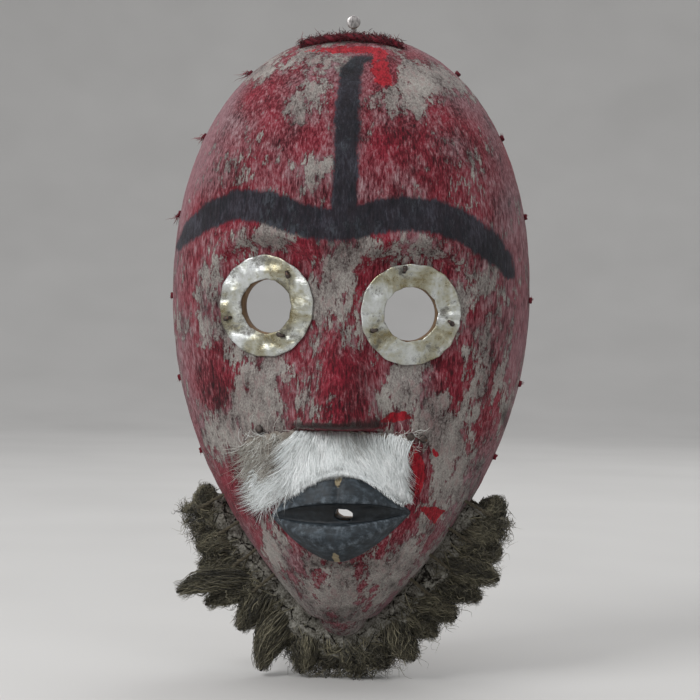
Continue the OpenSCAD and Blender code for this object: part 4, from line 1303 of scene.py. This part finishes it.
def rope_point(u):
    """Smooth curve through the rope's route, at places u counted in route points."""
    route = np.array(ROPE_ROUTE)
    u = np.asarray(u, float)
    i = np.minimum(np.floor(u).astype(int), ROPE_END - 1)
    a, b = route[np.maximum(i - 1, 0)], route[i]
    c, d = route[i + 1], route[np.minimum(i + 2, ROPE_END)]
    t = (u - i)[..., None]
    p = 0.5 * (2 * b + (c - a) * t + (2 * a - 5 * b + 4 * c - d) * t ** 2 + (3 * b - a - 3 * c + d) * t ** 3)
    return xyz(p[..., 0], ROPE_Y, p[..., 1])


def rope_step(u):
    """A short step forward along the rope at places u."""
    return rope_point(np.minimum(u + 0.05, ROPE_END)) - rope_point(np.maximum(u - 0.05, 0))


def make_rope():
    """The band that carries the beard: matted fibre caked with clay."""
    u = np.linspace(0, ROPE_END, 330)
    path = rope_point(u)
    sides = 40
    angle = 2 * np.pi * np.arange(sides) / sides
    ends = np.clip(np.minimum(u, ROPE_END - u) / 0.35, 0.3, 1)
    ring = xyz(u[:, None] * 9, np.cos(angle)[None] * 1.6, np.sin(angle)[None] * 1.6)
    lumps = 0.85 * cloud(ring, (6, 1.2, 1.2), 121, 4)
    points = tube_points(path, (ROPE_R + 0.5 + lumps) * ends[:, None], sides)
    inward = unit(JAW_MIDDLE - path)[:, None]
    facing = np.clip(((points - path[:, None]) * inward).sum(-1, keepdims=True) / ROPE_R, 0, 1)
    points = points + 2.6 * facing ** 1.5 * inward
    points, faces = capped(points)
    return make_piece("clay_band", points, faces, CLAY, ["beard_rope"])


def make_rope_fibres():
    """Fibres that lie in and over the band, wound loosely round it."""
    count = 2300
    u = random.uniform(0.1, 9.6, count)
    span = random.uniform(0.15, 0.5, count)
    t = np.linspace(0, 1, 7)[None]
    at = np.clip(u[:, None] + span[:, None] * t * random.choice([-1, 1], (count, 1)), 0, ROPE_END)
    path = rope_point(at)
    along = unit(rope_step(at))
    side = np.cross(along, [0.0, 1.0, 0.0])
    turn = random.uniform(0, 2 * np.pi, (count, 1)) + random.normal(size=(count, 1)) * 2.2 * t
    away = ROPE_R * random.uniform(0.9, 1.22, (count, 1)) + 2.1 * random.random((count, 1)) * t ** 2
    turn = turn[..., None]
    paths = path + away[..., None] * (np.cos(turn) * side + np.sin(turn) * [0.0, -1.0, 0.0])
    radii = random.uniform(0.12, 0.3, (count, 1)) * np.linspace(1, 0.5, 7)[None]
    inward = unit(JAW_MIDDLE - path[:, 3])
    outer = ((paths[:, 3] - path[:, 3]) * inward).sum(-1) < ROPE_R * random.uniform(-0.6, 0.75, count) ** 3
    return shaded_piece("band_fibres", [fibre_part(paths[outer], radii[outer], 0.55, 0.2)],
                        PLANT_FIBRE)


def tuft_path(row, t):
    """Middle line of a tuft and its radius at places t from root to tip."""
    root = rope_point(row[0])
    bend = np.array([row[1], mix(ROPE_Y, row[5], 0.5), row[2]])
    tip = np.array([row[3], row[5], row[4]])
    t = t[..., None]
    line = (1 - t) ** 2 * root + 2 * t * (1 - t) * bend + t ** 2 * tip
    s = mix(0.14, 1, t[..., 0])
    radius = TUFT_R * row[6] * (0.12 + 0.88 * np.sin(np.pi * s ** 0.8).clip(0, 1) ** 0.8)
    return line, radius


def frizz(paths, amount):
    """Waves along each fibre that grow towards its tip."""
    n, k = paths.shape[:2]
    t = np.linspace(0, 1, k)[None]
    along = unit(np.gradient(paths, axis=1))
    side = unit(np.cross(along, unit(random.normal(size=(n, 1, 3)))))
    over = np.cross(side, along)
    for direction in (side, over):
        waves = random.uniform(7, 19, (n, 1)) * t + random.uniform(0, 2 * np.pi, (n, 1))
        paths = paths + (amount * random.uniform(0.3, 1.4, (n, 1)) * t * np.sin(waves))[..., None] * direction
    return paths


def make_tuft(number, row):
    """A dark grooved core of matted fibre under locks of loose, frizzy ones."""
    t = np.linspace(0, 1, 26)
    line, radius = tuft_path(row, t)
    sides = 30
    angle = 2 * np.pi * np.arange(sides) / sides
    groove = 1 + 0.2 * np.sin(7 * angle[None] + 5 * t[:, None] + number) * np.sin(3 * angle[None] + number)
    core = capped(tube_points(line, 0.6 * radius[:, None] * groove, sides))
    count, k = 800, 13
    start = random.uniform(-0.05, 0.4, (count, 1))
    end = random.uniform(0.6, 1.04, (count, 1))
    t = np.clip(mix(start, end, np.linspace(0, 1, k)[None]), 0, 1.04)
    line, radius = tuft_path(row, np.minimum(t, 1))
    along = unit(np.gradient(line, axis=1))
    side = unit(np.cross(along, [0.0, 1.0, 0.0]))
    over = np.cross(side, along)
    locks = 8 + number % 4
    phase = random.uniform(0, 2 * np.pi, (count, 1))
    lock = np.round(phase * locks / (2 * np.pi)) * 2 * np.pi / locks
    twist = 1.6 * math.sin(number * 2.1)
    angle = mix(phase, lock, 0.8 * t) + twist * t + 0.4 * random.normal(size=(count, 1)) * t
    spread = np.maximum(radius, 2.6 * row[6] * smooth(2.2 * t))
    away = spread * random.uniform(0.55, 1.12, (count, 1)) + 0.9 * random.normal(size=(count, 1)) * t ** 2
    angle = angle[..., None]
    paths = line + away[..., None] * (np.cos(angle) * side + np.sin(angle) * over)
    paths = frizz(paths, 1.25 if number < 11 else 1.7)
    radii = random.uniform(0.14, 0.32, (count, 1)) * np.linspace(1, 0.3, k)[None]
    points, faces, each = fibres(paths, radii)
    lit = 0.3 + 0.36 * t.mean(1) + 0.2 * np.sin(2.5 * lock[:, 0] + number) + random.normal(size=count) * 0.17
    shade = np.concatenate([np.full(len(core[0]), 0.1), np.repeat(lit.clip(0, 1), each)])
    dusty = np.repeat((1.1 - 1.6 * t.mean(1)).clip(0, 1) * random.uniform(0.2, 1, count), each)
    clay = np.concatenate([np.zeros(len(core[0])), dusty])
    points, faces = joined([core, (points, faces)])
    node = f"beard_tuft_{number:02d}"
    points[:, 1] = np.minimum(points[:, 1], -0.1)
    return make_piece("fibre_" + node, points, faces, PLANT_FIBRE, [node],
                      {"shade": shade, "clay": clay})


def make_mat(name, first, last, count, length):
    """Loose curly fibres that mat the tufts together between two places along the band."""
    u = random.uniform(first, last, count)
    root = rope_point(u)
    outward = unit(np.cross(rope_step(u), [0.0, 1.0, 0.0]))
    outward = outward * np.sign(((root - JAW_MIDDLE) * outward).sum(-1, keepdims=True))
    start = root + outward * random.uniform(3, 12, (count, 1))
    start = start + random.normal(size=(count, 3)) * [0.6, 2.6, 0.6]
    lean = outward + random.normal(size=(count, 3)) * [0.55, 0.3, 0.55]
    t = np.linspace(0, 1, 11)[None, :, None]
    reach = random.uniform(0.3, 1, (count, 1, 1)) ** 1.6 * length
    bend = random.normal(size=(count, 1, 3)) * [0.5, 0.15, 0.5]
    paths = frizz(start[:, None] + reach * (unit(lean)[:, None] * t + bend * t ** 2), 1.9)
    low, high = zip((-FIBRE_X, FIBRE_X), FIBRE_Y, (FIBRE_LOW_Z, TOP_Z))
    paths = np.clip(paths, low, high)
    radii = random.uniform(0.12, 0.26, (count, 1)) * np.linspace(1, 0.3, 11)[None]
    points, faces, each = fibres(paths, radii)
    return make_piece(name, points, faces, PLANT_FIBRE, (),
                      {"shade": shades(count, each, 0.52, 0.22), "clay": shades(count, each, 0.25, 0.3)})


# ---- The object ----

make_cloth()
make_wood()
make_lips()
make_ring("left_eye_sheet", EYES[0], 31, 0.25)
make_ring("right_eye_sheet", EYES[1], 37, 0.85)
make_ring_nails("bent_left_ring_nails", EYES[0], RING_NAILS[0], (-70, 200, 160))
make_ring_nails("bent_right_ring_nails", EYES[1], RING_NAILS[1], (80, -40, 190))
make_pelt()
make_moustache()
make_tacks()
make_crown_nail()
make_crown_cord()
make_rim_ties()
make_rope()
make_rope_fibres()
make_lashing()
for tuft_number, tuft_row in enumerate(TUFTS, 1):
    make_tuft(tuft_number, tuft_row)
make_mat("matted_fibre_left", 0.1, 5.0, 2600, 5)
make_mat("matted_fibre_right", 5.0, 9.9, 2900, 6.5)

# ---- Floor, light and camera, in metres ----

FLOOR_R = 2.0
FLOOR_CURVE_R = 1.6
FLOOR_GAP = 0.001
CAMERA_TURN = math.radians(5)
CAMERA_ROLL = math.radians(1)
CAMERA_AWAY = 0.692
CAMERA_Z = -0.00565


def floor_material():
    s = Shader("pale_floor", 0.9)
    tone = s.noise((0.004, 0.004, 0.004), detail=2)
    return s.done(s.ramp(tone, (0.3, 190, 189, 187), (0.7, 197, 196, 194)))


def make_floor():
    """A pale round floor that is flat under the object and curves up into a low wall far from it."""
    turn = np.linspace(0, np.pi / 2, 20)
    radius = np.concatenate([[0.6, 1.2], FLOOR_R + FLOOR_CURVE_R * np.sin(turn)])[:, None]
    height = cad_lo.z - FLOOR_GAP + np.concatenate([[0, 0], FLOOR_CURVE_R * (1 - np.cos(turn))])[:, None]
    around = 2 * np.pi * np.arange(96) / 96
    points, faces = capped(xyz(radius * np.cos(around), radius * np.sin(around), height))
    faces = faces[(faces != len(points) - 1).all(1)]
    mesh = bpy.data.meshes.new("floor")
    mesh.from_pydata(points[:-1].tolist(), [], faces.tolist())
    mesh.polygons.foreach_set("use_smooth", [True] * len(faces))
    mesh.materials.append(floor_material())
    floor = bpy.data.objects.new("floor", mesh)
    bpy.context.scene.collection.objects.link(floor)


def add_light(name, place, size, power):
    """A square area light that looks at the middle of the object."""
    data = bpy.data.lights.new(name, "AREA")
    data.size = size
    data.energy = power
    light = bpy.data.objects.new(name, data)
    light.location = place
    light.rotation_mode = "QUATERNION"
    light.rotation_quaternion = (-light.location).to_track_quat("-Z", "Y")
    bpy.context.scene.collection.objects.link(light)


def make_world():
    """Even pale light from all sides."""
    world = bpy.data.worlds.new("studio")
    world.use_nodes = True
    background = world.node_tree.nodes["Background"]
    background.inputs[0].default_value = srgb(214, 214, 216)
    background.inputs[1].default_value = 0.7
    bpy.context.scene.world = world
    bpy.context.scene.view_settings.view_transform = "Standard"


def make_camera():
    """85 mm lens, level, 5 degrees round from the front and rolled by 1 degree."""
    back = np.array([math.sin(CAMERA_TURN), -math.cos(CAMERA_TURN), 0.0])
    right = np.array([math.cos(CAMERA_TURN), math.sin(CAMERA_TURN), 0.0])
    up = np.array([0.0, 0.0, 1.0])
    across = right * math.cos(CAMERA_ROLL) + up * math.sin(CAMERA_ROLL)
    over = up * math.cos(CAMERA_ROLL) - right * math.sin(CAMERA_ROLL)
    place = back * CAMERA_AWAY + [0, 0, CAMERA_Z]
    camera = bpy.data.objects.new("camera", bpy.data.cameras.new("camera"))
    camera.data.lens = 85
    camera.data.sensor_width = 36
    columns = np.eye(4)
    columns[:3, 0], columns[:3, 1], columns[:3, 2], columns[:3, 3] = across, over, back, place
    camera.matrix_world = Matrix(columns.tolist())
    bpy.context.scene.collection.objects.link(camera)
    bpy.context.scene.camera = camera


make_floor()
make_world()
add_light("key", (-0.95, -1.0, 0.95), 0.7, 17)
add_light("fill", (1.1, -1.1, 0.75), 0.9, 3)
add_light("back", (0.4, 1.2, 1.1), 0.9, 5)
add_light("top", (0, 0, 3), 2.5, 30)
make_camera()
